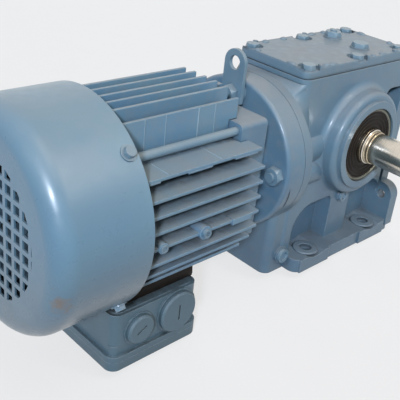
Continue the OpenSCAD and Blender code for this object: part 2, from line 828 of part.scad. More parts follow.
module worm_bearing_inners() {
    color(steel) for (x = [left_brg_x, right_brg_x]) along_x(x, 0, worm_z) bearing_inner(worm_brg);
}

module worm_bearing_outers() {
    color(steel) for (x = [left_brg_x, right_brg_x]) along_x(x, 0, worm_z) bearing_outer(worm_brg);
}

// The gear has a tooth gap facing the pinion at its middle plane
module helical_gear() {
    color(steel) difference() {
        along_x(gear_x, 0, worm_z) helical_teeth(gear_teeth, 1, helix_start(gear_teeth, 1)
            + 180 + 180 / gear_teeth, 3);
        along_x(gear_x - 1, 0, worm_z) cylinder(r = 11, h = gear_w + 2);
        translate([gear_x - 1, -3, worm_z]) cube([gear_w + 2, 6, 11 + 2.8]);
    }
}

// Turn of the first face that brings the middle plane to angle 0
function helix_start(teeth, hand) =
    -hand * gear_w / 2 * tan(helix) / (trans_mod * teeth / 2) * 180 / PI;

module gear_key() {
    color(steel) translate([gear_x + gear_w / 2, 0, worm_z + 11 - 3.5])
        round_key(gear_w - 3.04, 5.96, 6);
}

pinion_seat = 10;

module pinion() {
    color(steel) difference() {
        along_x(gear_x, 0, motor_z)
            helical_teeth(pinion_teeth, -1, helix_start(pinion_teeth, -1), 5);
        along_x(gear_x - 1, 0, motor_z) cylinder(r = pinion_seat, h = gear_w + 2);
    }
}

// Stations along the motor shaft
core_len = 80;
core_x = (neck_x + frame_x) / 2 - core_len / 2;
front_brg_x = flange_x - front_brg[2] - 8;
rear_brg_x = frame_x - rear_brg[2] + 4;
fan_x = frame_x - 46;
fan_w = 30;
fan_seat = 10;

module rotor_shaft() {
    color(steel) {
        along_x(fan_x - 5, 0, motor_z) cylinder(r = fan_seat, h = rear_brg_x - fan_x + 5);
        along_x(rear_brg_x, 0, motor_z) cylinder(r = rear_brg[0] / 2, h = rear_brg[2]);
        along_x(rear_brg_x + rear_brg[2], 0, motor_z)
            cylinder(r = 16, h = front_brg_x - rear_brg_x - rear_brg[2]);
        along_x(front_brg_x, 0, motor_z) cylinder(r = front_brg[0] / 2, h = front_brg[2]);
        along_x(front_brg_x + front_brg[2], 0, motor_z)
            cylinder(r = 14, h = joint_x - front_brg_x - front_brg[2] + 5);
        along_x(joint_x + 5, 0, motor_z)
            cylinder(r = pinion_seat, h = gear_x + gear_w - joint_x - 5 + 1);
    }
}

core_air = 0.5;
rotor_r = 36;

module rotor_core() {
    color(iron) along_x(core_x, 0, motor_z) {
        tube(rotor_r, 16, core_len);
        translate([0, 0, -8]) tube(rotor_r - 3, rotor_r - 13, core_len + 16);
    }
}

module stator_core() {
    color(iron) along_x(core_x, 0, motor_z) difference() {
        cylinder(r = barrel_d / 2 - 7, h = core_len);
        translate([0, 0, -1]) cylinder(r = rotor_r + core_air, h = core_len + 2);
        for (i = [0 : 23]) rotate([0, 0, i * 15]) translate([rotor_r + 2, -1.8, -1])
            cube([14, 3.6, core_len + 2]);
    }
}

// End windings: a round-edged ring at each end and the coil sides in the slots
module stator_windings() {
    ring_l = 17;
    ring_t = 13;
    edge = 5;
    color(copper) {
        for (s = [0, 1]) along_x(s == 0 ? core_x : core_x + core_len, 0, motor_z)
            mirror([0, 0, 1 - s]) rotate_extrude() translate([rotor_r + 3, 0]) {
                square([ring_t, ring_l - edge]);
                translate([edge, 0]) square([ring_t - 2 * edge, ring_l]);
                for (x = [edge, ring_t - edge]) translate([x, ring_l - edge]) circle(edge);
            }
        for (i = [0 : 23]) along_x(core_x, 0, motor_z) rotate([0, 0, i * 15])
            translate([rotor_r + 3.2, -1.7, -eps]) cube([12, 3.4, core_len + 2 * eps]);
    }
}

module rotor_bearing_inners() {
    color(steel) {
        along_x(rear_brg_x, 0, motor_z) bearing_inner(rear_brg);
        along_x(front_brg_x, 0, motor_z) bearing_inner(front_brg);
    }
}

module rotor_bearing_outers() {
    color(steel) {
        along_x(rear_brg_x, 0, motor_z) bearing_outer(rear_brg);
        along_x(front_brg_x, 0, motor_z) bearing_outer(front_brg);
    }
}

module cooling_fan() {
    blade_n = 7;
    disc_r = 66;
    color(plastic) along_x(fan_x, 0, motor_z) difference() {
        union() {
            translate([0, 0, fan_w - 3]) cylinder(r = disc_r, h = 3);
            cylinder(r = fan_seat + 8, h = fan_w);
            for (i = [0 : blade_n - 1]) rotate([0, 0, i * 360 / blade_n])
                translate([fan_seat + 5, -1.5, 0]) cube([disc_r - fan_seat - 7, 3, fan_w - 1]);
        }
        translate([0, 0, -1]) cylinder(r = fan_seat, h = fan_w + 2);
        translate([0, 0, -1]) tube(disc_r + 20, disc_r - 3, 12);
    }
}

module fan_clip() {
    color(zinc) along_x(fan_x - 1.5, 0, motor_z) difference() {
        tube(fan_seat + 4, fan_seat, 1.5);
        translate([0, -2, -1]) cube([30, 4, 4]);
    }
}

fin_root_r = barrel_d / 2 - 2;

// One fin of the housing's outline, standing along +X of the outline's plane
module fin_profile(tip) {
    polygon([[0, -fin_root / 2], [tip, -fin_tip / 2], [tip, fin_tip / 2], [0, fin_root / 2]]);
}

// Height of the fin envelope above a fin that stands at offset w
function fin_reach(w, cap) = min(cap, sqrt(pow(fin_d / 2, 2) - pow(w, 2)));

top_cap = 88;
side_cap = 87;
pad_w = 96;

// Outline across the finned housing; local X is down, local Y is along Y
module housing_outline() {
    circle(barrel_d / 2, $fn = 128);
    for (k = [-3 : 3]) translate([0, k * top_pitch]) rotate(180)
        fin_profile(fin_reach(k * top_pitch, top_cap));
    for (s = [-1, 1], k = [-3 : 4]) translate([k * side_pitch, 0]) rotate(90 * s)
        fin_profile(fin_reach(k * side_pitch, side_cap));
}

// Cast lugs on the visible side fins
lug_fin_z = motor_z - side_pitch;

module stator_housing() {
    stub = 5;
    color(paint) difference() {
        union() {
            along_x(frame_x, 0, motor_z) linear_extrude(height = frame_len) housing_outline();
            translate([pad_x0, -pad_w / 2, box_top + gasket_t])
                cube([pad_x1 - pad_x0, pad_w, box_drop - gasket_t]);
            along_y(-70, frame_x + 22, lug_fin_z) cylinder(r = stub, h = 18);
            along_y(-70, frame_x + 68, lug_fin_z) cylinder(r = stub + 1.5, h = 18.5);
            translate([frame_x + 102, -side_cap - 1, lug_fin_z - 4]) cube([24, 10, 6]);
        }
        along_x(frame_x - 1, 0, motor_z) cylinder(r = barrel_d / 2 - 7, h = frame_len + 2);
        around_motor(45) along_x(frame_x - 1, 0, rod_r)
            cylinder(r = rod_d / 2 + 2, h = frame_len + 2);
        four_corners() along_x(neck_x - 10) rounded_plate(21, 21, 20, 5.5);
        translate([term_x - 28, -26, 0]) cube([56, 52, motor_z - 55]);
        for (x = [22, 68]) along_y(-70 - 8, frame_x + x, lug_fin_z) cylinder(r = 2.5 + eps, h = 12);
    }
}

// Front end shield: square block with the rod lugs, hub, bearing seat and round flange
// Places its child at the four corners of the square block round the motor's axis
module four_corners() {
    reach = neck_w / 2 - 10;
    for (s = [-1, 1], t = [-1, 1]) translate([0, s * reach, motor_z + t * reach]) children();
}

module front_end_shield() {
    lug_x = neck_x - 9;
    r = flange_d / 2;
    edge = 4;
    color(paint) difference() {
        union() {
            along_x(flange_x, 0, motor_z) rotate_extrude() {
                square([r - edge, flange_t]);
                translate([0, edge]) square([r, flange_t - edge]);
                translate([r - edge, edge]) circle(edge);
            }
            along_x(neck_x, 0, motor_z) rounded_plate(neck_w, neck_w, block_t, 13);
            along_x(neck_x, 0, motor_z) cylinder(r = hub_r, h = neck_len + 1);
            four_corners() along_x(lug_x) rounded_plate(20, 20, neck_x + block_t - lug_x, 5);
            translate([neck_x + 1, -3, motor_z + 30]) cube([20, 6, top_cap - 40]);
            along_x(neck_x - 6, 0, motor_z) cylinder(r = barrel_d / 2 - 7.05, h = 8);
            along_x(flange_x + flange_t - 1, 0, motor_z) cylinder(r = flange_pcd / 2 - 8.5, h = 5);
        }
        along_x(neck_x - 20, 0, motor_z) cylinder(r = hub_r - 7, h = 34);
        along_x(front_brg_x, 0, motor_z) cylinder(r = front_brg[1] / 2, h = front_brg[2]);
        along_x(neck_x, 0, motor_z) cylinder(r = front_brg[1] / 2 - 4, h = flange_x - neck_x - 1);
        along_x(front_brg_x, 0, motor_z) cylinder(r = 15, h = 90);
        along_x(joint_x - 12, 0, motor_z) cylinder(r = 23.5, h = 40);
        along_x(joint_x - 1, 0, motor_z) cylinder(r = 44, h = 30);
        around_motor(0) along_x(flange_x - 1, 0, flange_pcd / 2)
            cylinder(r = m10 + bolt_gap, h = flange_t + 8);
        around_motor(45) along_x(lug_x - 1, 0, rod_r) cylinder(r = rod_d / 2 + eps, h = 30);
    }
}

block_t = 25;
hub_r = 51;

module motor_oil_seal() {
    color(rubber) along_x(joint_x - 12, 0, motor_z) rotate_extrude() difference() {
        translate([14 + run_gap, 0]) square([23.5 - 14 - run_gap, 9]);
        translate([16, 5]) square([5, 5]);
    }
}

rear_t = 12;

module rear_end_shield() {
    lug_r = 10;
    color(paint_dark) difference() {
        union() {
            along_x(frame_x - rear_t, 0, motor_z) cylinder(r = barrel_d / 2, h = rear_t);
            along_x(frame_x - 1, 0, motor_z) cylinder(r = barrel_d / 2 - 7.05, h = 6);
            along_x(rear_brg_x - 4, 0, motor_z)
                cylinder(r = rear_brg[1] / 2 + 7, h = frame_x - rear_brg_x + 4);
            around_motor(45) along_x(frame_x - rear_t, 0, rod_r) cylinder(r = lug_r, h = rear_t);
            around_motor(45) translate([frame_x - rear_t, -lug_r, 55])
                cube([rear_t, 2 * lug_r, sqrt(pow(hood_d / 2 - hood_wall, 2) - pow(lug_r, 2)) - 55.2]);
        }
        along_x(rear_brg_x, 0, motor_z) cylinder(r = rear_brg[1] / 2, h = 30);
        along_x(rear_brg_x - 10, 0, motor_z) cylinder(r = rear_brg[0] / 2 + 2, h = 30);
        along_x(rear_brg_x + rear_brg[2], 0, motor_z) cylinder(r = rear_brg[1] / 2 + 4, h = 30);
        around_motor(45) along_x(frame_x - rear_t - 1, 0, rod_r)
            cylinder(r = rod_d / 2 + eps, h = rear_t + 2);
        around_motor(45) translate([hood_screw_x, 0, rod_r + rod_d / 2 + 2])
            cylinder(r = 2.5 + eps, h = 30);
    }
}

rod_x0 = frame_x - rear_t;
rod_x1 = neck_x + 10;

module tie_rods() {
    color(paint) around_motor(45) along_x(rod_x0 - 9, 0, rod_r)
        cylinder(r = rod_d / 2, h = rod_x1 - rod_x0 + 9);
}

module tie_rod_nuts() {
    color(zinc) around_motor(45) along_x(rod_x0 - 6.5, 0, rod_r) difference() {
        cylinder(r = 13 / sqrt(3), h = 6.5, $fn = 6);
        translate([0, 0, -1]) cylinder(r = rod_d / 2 + eps, h = 9);
    }
}

// The top stud is longer, because the lifting eye is under its nut
module flange_studs() {
    color(zinc) for (a = [0 : 3]) {
        out = 11 + (a == 0 ? eye_t - 1 : 0);
        translate([0, 0, motor_z]) rotate([90 * a, 0, 0]) along_x(flange_x - out, 0, flange_pcd / 2)
            cylinder(r = m10, h = flange_t + out + gasket_t + 8.5);
    }
}

nut_h = 8;

// The top nut sits on the lifting eye, the others on the flange
module flange_nuts() {
    color(paint) for (a = [0 : 3])
        translate([0, 0, motor_z]) rotate([90 * a, 0, 0])
            along_x(flange_x - nut_h - (a == 0 ? eye_t : 0), 0, flange_pcd / 2) difference() {
                intersection() {
                    cylinder(r = 17 / sqrt(3), h = nut_h, $fn = 6);
                    cylinder(r1 = 8.6, r2 = 10.5, h = nut_h);
                }
                translate([0, 0, -1]) cylinder(r = m10 + eps, h = nut_h + 2);
            }
}

module lifting_eye() {
    r = eye_w / 2;
    eye_plate = 4;
    color(paint) along_x(flange_x - eye_t, 0, motor_z) difference() {
        union() {
            linear_extrude(height = eye_plate) {
                translate([-eye_rise, 0]) circle(r);
                translate([-eye_rise, -r]) square([eye_rise - flange_pcd / 2 + 8, eye_w]);
            }
            translate([-flange_pcd / 2, 0, 0]) cylinder(r = 12, h = eye_t);
        }
        translate([-eye_rise, 0, -1]) cylinder(r = eye_hole / 2, h = eye_t + 2);
        translate([-flange_pcd / 2, 0, -1]) cylinder(r = m10 + bolt_gap, h = eye_t + 2);
    }
}

hood_screw_x = frame_x - rear_t / 2;

// Pressed fan cover: round shoulder, dimples for the screws and a square mesh
module fan_cover() {
    r = hood_d / 2;
    color(paint) difference() {
        along_x(hood_x, 0, motor_z) {
            rotate_extrude($fn = 128) difference() {
                cup_outline(r, hood_len, hood_round);
                translate([0, hood_wall])
                    cup_outline(r - hood_wall, hood_len, hood_round - hood_wall);
                square([mesh_d / 2, hood_wall * 3], center = false);
            }
            linear_extrude(height = hood_wall) mesh_outline();
        }
        around_motor(45) translate([hood_screw_x, 0, r - 6]) cylinder(r = 2.5 + bolt_gap, h = 10);
    }
}

module cup_outline(r, l, round) {
    translate([0, round]) square([r, l - round]);
    square([r - round, l]);
    translate([r - round, round]) circle(round);
}

module mesh_outline() {
    n = floor(mesh_d / 2 / mesh_pitch);
    intersection() {
        circle(mesh_d / 2 + 1, $fn = 128);
        union() {
            for (i = [-n : n]) translate([i * mesh_pitch - mesh_bar / 2, -mesh_d])
                square([mesh_bar, 2 * mesh_d]);
            for (i = [-n : n]) translate([-mesh_d, i * mesh_pitch - mesh_bar / 2])
                square([2 * mesh_d, mesh_bar]);
        }
    }
}

module fan_cover_screws() {
    color(zinc) around_motor(45) translate([hood_screw_x, 0, hood_d / 2]) {
        tube(7, 2.5, 1);
        translate([0, 0, 1]) hex_bolt(5, 9, 4, 12);
    }
}

// Terminal box below the motor
box_x = frame_x - 5;
box_top = motor_z - box_drop;
box_bottom = box_top - box_h;
box_mid = [box_x + box_l / 2, 0];
term_x = frame_x + 57;

// Ends of the housing's pad that carries the terminal box
pad_x0 = rim_x + 2;
pad_x1 = box_x + box_l - 3;

// The wall beside the fan cover is thicker and hollowed to clear its rim
module terminal_box() {
    wall = 4;
    lip = 6;
    thick = 6;
    color(paint_dark) difference() {
        union() {
            difference() {
                union() {
                    translate([box_mid[0], 0, box_bottom])
                        rounded_plate(box_l - 6, box_w - 6, box_h - 1, 9);
                    translate([box_mid[0], 0, box_top - lip])
                        rounded_plate(box_l - 10, pad_w + 18, lip, 9);
                    translate([box_mid[0], 0, box_bottom]) rounded_plate(box_l, box_w, lip, 10);
                    for (p = gland_plugs)
                        along_y(-box_w / 2 + 8, p[0], gland_z) cylinder(r = p[1] / 2 + 2, h = 6);
                }
                translate([box_mid[0] + thick / 2, 0, box_bottom - 1])
                    rounded_plate(box_l - 6 - 2 * wall - thick, box_w - 6 - 2 * wall, box_h - lip + 1, 6);
                along_x(hood_x, 0, motor_z) cylinder(r = hood_d / 2 + 0.6, h = hood_len + 0.8);
            }
            for (p = lid_screw_xy) translate([p[0], p[1], box_bottom]) cylinder(r = 6, h = 16);
        }
        translate([term_x - 28, -26, box_top - 20]) cube([56, 52, 40]);
        for (p = lid_screw_xy) translate([p[0], p[1], box_bottom - 1]) cylinder(r = 2.5 + eps, h = 14);
        for (p = gland_plugs) along_y(-box_w / 2 + 20, p[0], gland_z)
            cylinder(r = p[1] / 2 - 5 + eps, h = 40);
    }
}

gland_z = box_bottom + 27.2;
gland_plugs = [[box_x + 31, plug_small], [box_x + 75, plug_big]];
lid_screw_xy = [for (x = [-1, 1], y = [-1, 1])
    [box_mid[0] + x * (box_l / 2 - 9), y * (box_w / 2 - 9)]];

module box_gasket() {
    x1 = box_x + box_l - 7;
    color(rubber) difference() {
        translate([(pad_x0 + 1 + x1) / 2, 0, box_top]) rounded_plate(x1 - pad_x0 - 1, pad_w - 2, gasket_t, 6);
        translate([term_x - 28, -26, box_top - 1]) cube([56, 52, 4]);
    }
}

module terminal_lid() {
    edge = 4;
    color(paint_dark) difference() {
        union() {
            translate([box_mid[0], 0, box_bottom - lid_h + edge])
                rounded_plate(box_l, box_w, lid_h - edge, 10);
            translate([box_mid[0], 0, box_bottom - lid_h])
                rounded_plate(box_l - 8, box_w - 8, lid_h, 8);
        }
        translate([box_mid[0], 0, box_bottom - lid_h + 4]) rounded_plate(box_l - 22, box_w - 22, lid_h, 6);
        for (p = lid_screw_xy) translate([p[0], p[1], box_bottom - lid_h - 1]) {
            cylinder(r = 2.5 + bolt_gap, h = lid_h + 2);
            cylinder(r = 6, h = 6);
        }
    }
}

module lid_screws() {
    color(zinc) for (p = lid_screw_xy) translate([p[0], p[1], box_bottom - lid_h + 5])
        rotate([180, 0, 0]) socket_screw(5, 9, 4, lid_h - 5 + 11);
}

module blanking_plug(p) {
    turn = p[1] > 35 ? 90 : 30;
    color(paint_dark) along_y(-box_w / 2 + 2, p[0], gland_z) difference() {
        union() {
            cylinder(r = p[1] / 2, h = 3);
            translate([0, 0, 3 - eps]) cylinder(r1 = p[1] / 2, r2 = p[1] / 2 - 1.5, h = 1.5);
            translate([0, 0, -10]) cylinder(r = p[1] / 2 - 5, h = 11);
        }
        rotate([0, 0, turn]) translate([-p[1] * 0.2, -0.8, 3]) cube([p[1] * 0.4, 1.6, 4]);
    }
}

module large_blanking_plug() { blanking_plug(gland_plugs[1]); }
module small_blanking_plug() { blanking_plug(gland_plugs[0]); }

block_z = box_top - 8;

module terminal_block() {
    foot_z = block_z - 12;
    color(plastic) difference() {
        union() {
            translate([term_x - 24, -34, foot_z]) cube([48, 68, 12]);
            for (s = [-1, 1]) translate([term_x, s * 30, foot_z]) cylinder(r = 6, h = box_top - 6 - foot_z);
        }
        for (x = [-1 : 1], s = [-1, 1]) translate([term_x + x * 15, s * 12, foot_z - 2])
            cylinder(r = 2.5 + eps, h = 20);
    }
}

module terminal_studs() {
    color(bronze) for (x = [-1 : 1]) {
        for (s = [-1, 1]) translate([term_x + x * 15, s * 12, block_z - 24]) {
            cylinder(r = 2.5, h = 24);
            translate([0, 0, 7]) cylinder(r = 8 / sqrt(3), h = 5, $fn = 6);
        }
        translate([term_x + x * 15 - 4, -16, block_z - 19]) cube([8, 32, 2]);
    }
}

module earth_screw() {
    color(zinc) {
        along_y(-88.5, frame_x + 68, lug_fin_z) socket_screw(5, 8.5, 3, 10);
        along_y(-88, frame_x + 22, lug_fin_z) socket_screw(5, 7.5, 1.5, 9);
    }
}

gear_case();
case_cover();
cover_gasket();
cover_bolts();
breather_plug();
filler_plug();
level_plug();
drain_plug();
worm_end_cap();
end_cap_screws();
flange_gasket();
output_shaft();
worm_wheel_rim();
wheel_hub();
wheel_key();
shaft_sleeve();
output_bearing_inners();
output_bearing_outers();
retaining_rings();
oil_seal_case();
oil_seal_lip();
bore_cap();
worm_shaft();
helical_gear();
gear_key();
worm_bearing_inners();
worm_bearing_outers();
worm_locknut();
rotor_shaft();
rotor_core();
pinion();
cooling_fan();
fan_clip();
rotor_bearing_inners();
rotor_bearing_outers();
stator_housing();
stator_core();
stator_windings();
front_end_shield();
rear_end_shield();
motor_oil_seal();
tie_rods();
tie_rod_nuts();
flange_studs();
flange_nuts();
lifting_eye();
fan_cover();
fan_cover_screws();
terminal_box();
box_gasket();
terminal_lid();
lid_screws();
large_blanking_plug();
small_blanking_plug();
terminal_block();
terminal_studs();
earth_screw();
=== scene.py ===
"""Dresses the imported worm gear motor: finishes, small cast details, bench, light and camera."""

import logging
import math
from dataclasses import dataclass, field, replace
from enum import Enum
from typing import Any, Sequence

import bmesh
import bpy
from mathutils import Matrix, Vector


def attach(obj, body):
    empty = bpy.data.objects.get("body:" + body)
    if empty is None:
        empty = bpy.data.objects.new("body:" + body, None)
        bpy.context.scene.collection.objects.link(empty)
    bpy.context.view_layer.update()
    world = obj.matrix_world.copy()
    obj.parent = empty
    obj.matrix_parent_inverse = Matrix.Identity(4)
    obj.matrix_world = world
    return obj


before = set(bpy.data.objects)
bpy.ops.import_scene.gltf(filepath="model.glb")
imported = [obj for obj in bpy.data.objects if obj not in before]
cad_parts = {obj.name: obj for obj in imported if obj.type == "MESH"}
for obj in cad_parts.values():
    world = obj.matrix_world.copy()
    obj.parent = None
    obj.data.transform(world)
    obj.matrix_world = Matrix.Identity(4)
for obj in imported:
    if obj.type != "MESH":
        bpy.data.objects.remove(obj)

log = logging.getLogger("gear_motor")

Point = tuple[float, float, float]
Pair = tuple[float, float]
Profile = tuple[Pair, ...]
Tree = bpy.types.NodeTree
Socket = bpy.types.NodeSocket
Node = bpy.types.Node
Mesh = bmesh.types.BMesh

# A millimetre in metres. The heights of the axes are in metres, the sizes of pieces in millimetres.
MM = 0.001
# Points closer than this, in metres, become one.
WELD = 1e-7
SHAFT_Z = 0.140
MOTOR_Z = 0.138837
WORM_Z = 0.077
UP = (0, 0, 1)
TO_FRONT = (0, -1, 0)
ENAMEL_IOR = 1.5
# Noise keeps near its middle, so a ramp over one of these spans uses its whole range.
TONE_SPAN = (0.35, 0.65)
ROUGH_SPAN = (0.3, 0.7)


@dataclass(frozen=True)
class Surface:
    """How rough the metal under a coat of paint is, in a fine grain and a slow wave."""

    grain_mm: float
    grain_depth_mm: float
    wave_mm: float
    wave_depth_mm: float


class Ground(Enum):
    """What a coat of enamel lies on."""

    SAND_CAST = Surface(grain_mm=1.5, grain_depth_mm=0.22, wave_mm=14.0, wave_depth_mm=0.50)
    DIE_CAST = Surface(grain_mm=1.6, grain_depth_mm=0.10, wave_mm=22.0, wave_depth_mm=0.30)
    PRESSED = Surface(grain_mm=2.4, grain_depth_mm=0.004, wave_mm=60.0, wave_depth_mm=0.20)
    TURNED = Surface(grain_mm=1.2, grain_depth_mm=0.03, wave_mm=30.0, wave_depth_mm=0.10)


class Spindle(Enum):
    """The axis that a lathe or grinding line follows: a point on it, and its direction."""

    OUTPUT = ((0.0, 0.0, SHAFT_Z), (0.0, 1.0, 0.0))
    WORM = ((0.0, 0.0, WORM_Z), (1.0, 0.0, 0.0))
    MOTOR = ((0.0, 0.0, MOTOR_Z), (1.0, 0.0, 0.0))


def linear(code: str) -> tuple[float, float, float, float]:
    """Turns an sRGB hex colour into the linear colour the shader takes.

    Args:
        code: colour as "#rrggbb".

    Returns:
        Linear red, green, blue and an alpha of one.
    """
    parts = [int(code[i:i + 2], 16) / 255 for i in (1, 3, 5)]
    red, green, blue = (p / 12.92 if p <= 0.04045 else ((p + 0.055) / 1.055) ** 2.4 for p in parts)
    return red, green, blue, 1.0


def add_node(tree: Tree, kind: str, inputs: dict[str | int, Any] | None = None, **settings: Any) -> Node:
    """Adds one shader node, sets its options and fills or links its inputs.

    Args:
        tree: node tree that gets the node.
        kind: the node's Blender type, without ShaderNode before it.
        inputs: value or output socket for each named or numbered input.
        settings: options of the node itself.

    Returns:
        The new node.
    """
    made = tree.nodes.new("ShaderNode" + kind)
    for key, value in settings.items():
        setattr(made, key, value)
    for key, value in (inputs or {}).items():
        if isinstance(value, Socket):
            tree.links.new(value, made.inputs[key])
        else:
            made.inputs[key].default_value = value
    return made


def put(name: str, data: bpy.types.ID) -> bpy.types.Object:
    """Puts a mesh, a light or a camera into the scene.

    Args:
        name: name of the new object.
        data: what it holds.

    Returns:
        The new object.
    """
    made = bpy.data.objects.new(name, data)
    bpy.context.scene.collection.objects.link(made)
    return made


@dataclass(frozen=True)
class Finish:
    """What every finish shares: its name, its slot in the record and the softness of its edges."""

    name: str
    slot: str
    colour: str
    second: str
    roughness: float = 0.45
    metallic: float = 0.0
    edge_mm: float = 0.4

    def material(self) -> bpy.types.Material:
        """Builds the finish once and hands out the same material after that.

        Returns:
            The material.
        """
        made = bpy.data.materials.get(self.name)
        if made is None:
            made = bpy.data.materials.new(self.name)
            made.use_nodes = True
            made.diffuse_color = linear(self.colour)
            tree = made.node_tree
            shader = tree.nodes["Principled BSDF"]
            shader.inputs["Metallic"].default_value = self.metallic
            self.paint(tree, shader)
        return made

    def paint(self, tree: Tree, shader: Node) -> None:
        """Fills the material's node tree round its main shader; each kind of finish has its own way."""
        raise NotImplementedError

    def place(self, tree: Tree) -> Socket:
        """Gives each point's place in the object's own space, in metres."""
        return add_node(tree, "TexCoord").outputs["Object"]

    def noise(self, tree: Tree, size_mm: float, detail: float = 3.0,
              stretch: Point = (1.0, 1.0, 1.0)) -> Socket:
        """Adds noise of a real size in the object's own space.

        Args:
            tree: the material's node tree.
            size_mm: width of one patch in millimetres.
            detail: octaves of finer noise.
            stretch: factor on the size along each axis.

        Returns:
            The noise value, about 0.3 to 0.7.
        """
        scaled = add_node(tree, "VectorMath", {0: self.place(tree), 1: [1 / s for s in stretch]},
                          operation="MULTIPLY").outputs[0]
        return add_node(tree, "TexNoise",
                        {"Vector": scaled, "Scale": 1 / MM / size_mm, "Detail": detail}).outputs[0]

    def ramp(self, tree: Tree, value: Socket, low: float, high: float,
             start: float = 0.0, end: float = 1.0) -> Socket:
        """Maps the span from low to high onto start to end, held at both ends."""
        return add_node(tree, "MapRange", {0: value, 1: low, 2: high, 3: start, 4: end}).outputs[0]

    def times(self, tree: Tree, one: Any, two: Any) -> Socket:
        """Multiplies two values."""
        return add_node(tree, "Math", {0: one, 1: two}, operation="MULTIPLY").outputs[0]

    def plus(self, tree: Tree, one: Any, two: Any) -> Socket:
        """Adds two values."""
        return add_node(tree, "Math", {0: one, 1: two}).outputs[0]

    def broken(self, tree: Tree, share: Socket, size_mm: float, detail: float,
               span: Pair, kept: Pair) -> Socket:
        """Breaks a share up into patches: the span of the noise turns into the factors kept on it."""
        return self.times(tree, share, self.ramp(tree, self.noise(tree, size_mm, detail), *span, *kept))

    def blend(self, tree: Tree, share: Any, one: Any, two: Any) -> Socket:
        """Mixes two colours; the share is how much of the second one shows."""
        return add_node(tree, "Mix", {0: share, 6: one, 7: two}, data_type="RGBA").outputs[2]

    def two_tones(self, tree: Tree, pattern: Socket) -> Socket:
        """Spreads the finish's two tones along a pattern."""
        share = self.ramp(tree, pattern, *TONE_SPAN)
        return self.blend(tree, share, linear(self.colour), linear(self.second))

    def uneven(self, tree: Tree, pattern: Socket, below: float, above: float) -> Socket:
        """Lets the roughness drift below and above the finish's own along a pattern."""
        return self.ramp(tree, pattern, *ROUGH_SPAN, self.roughness - below, self.roughness + above)

    def wire(self, tree: Tree, shader: Node, *looks: Socket) -> None:
        """Links the base colour, the roughness and the normal to the shader."""
        for key, value in zip(("Base Color", "Roughness", "Normal"), looks):
            tree.links.new(value, shader.inputs[key])

    def bump(self, tree: Tree, height: Socket, normal: Socket, depth_mm: float,
             strength: float = 0.6) -> Socket:
        """Raises a height pattern over a normal; the light sees the strength's share of its depth."""
        return add_node(tree, "Bump", {"Height": height, "Normal": normal, "Distance": depth_mm * MM,
                                       "Strength": strength}).outputs[0]

    def soft_edge(self, tree: Tree) -> tuple[Socket, Socket]:
        """Rounds the edges for the light and finds where they are.

        Args:
            tree: the material's node tree.

        Returns:
            The softened normal, and a mask that is 1 on edges and 0 on open faces.
        """
        normal = add_node(tree, "Bevel", {"Radius": self.edge_mm * MM}, samples=4).outputs[0]
        flat = add_node(tree, "NewGeometry").outputs["Normal"]
        # Cosine of the angle between the rounded and the flat face, 1 where no edge is near.
        turn = add_node(tree, "VectorMath", {0: normal, 1: flat}, operation="DOT_PRODUCT")
        return normal, self.ramp(tree, turn.outputs["Value"], 0.985, 0.84)


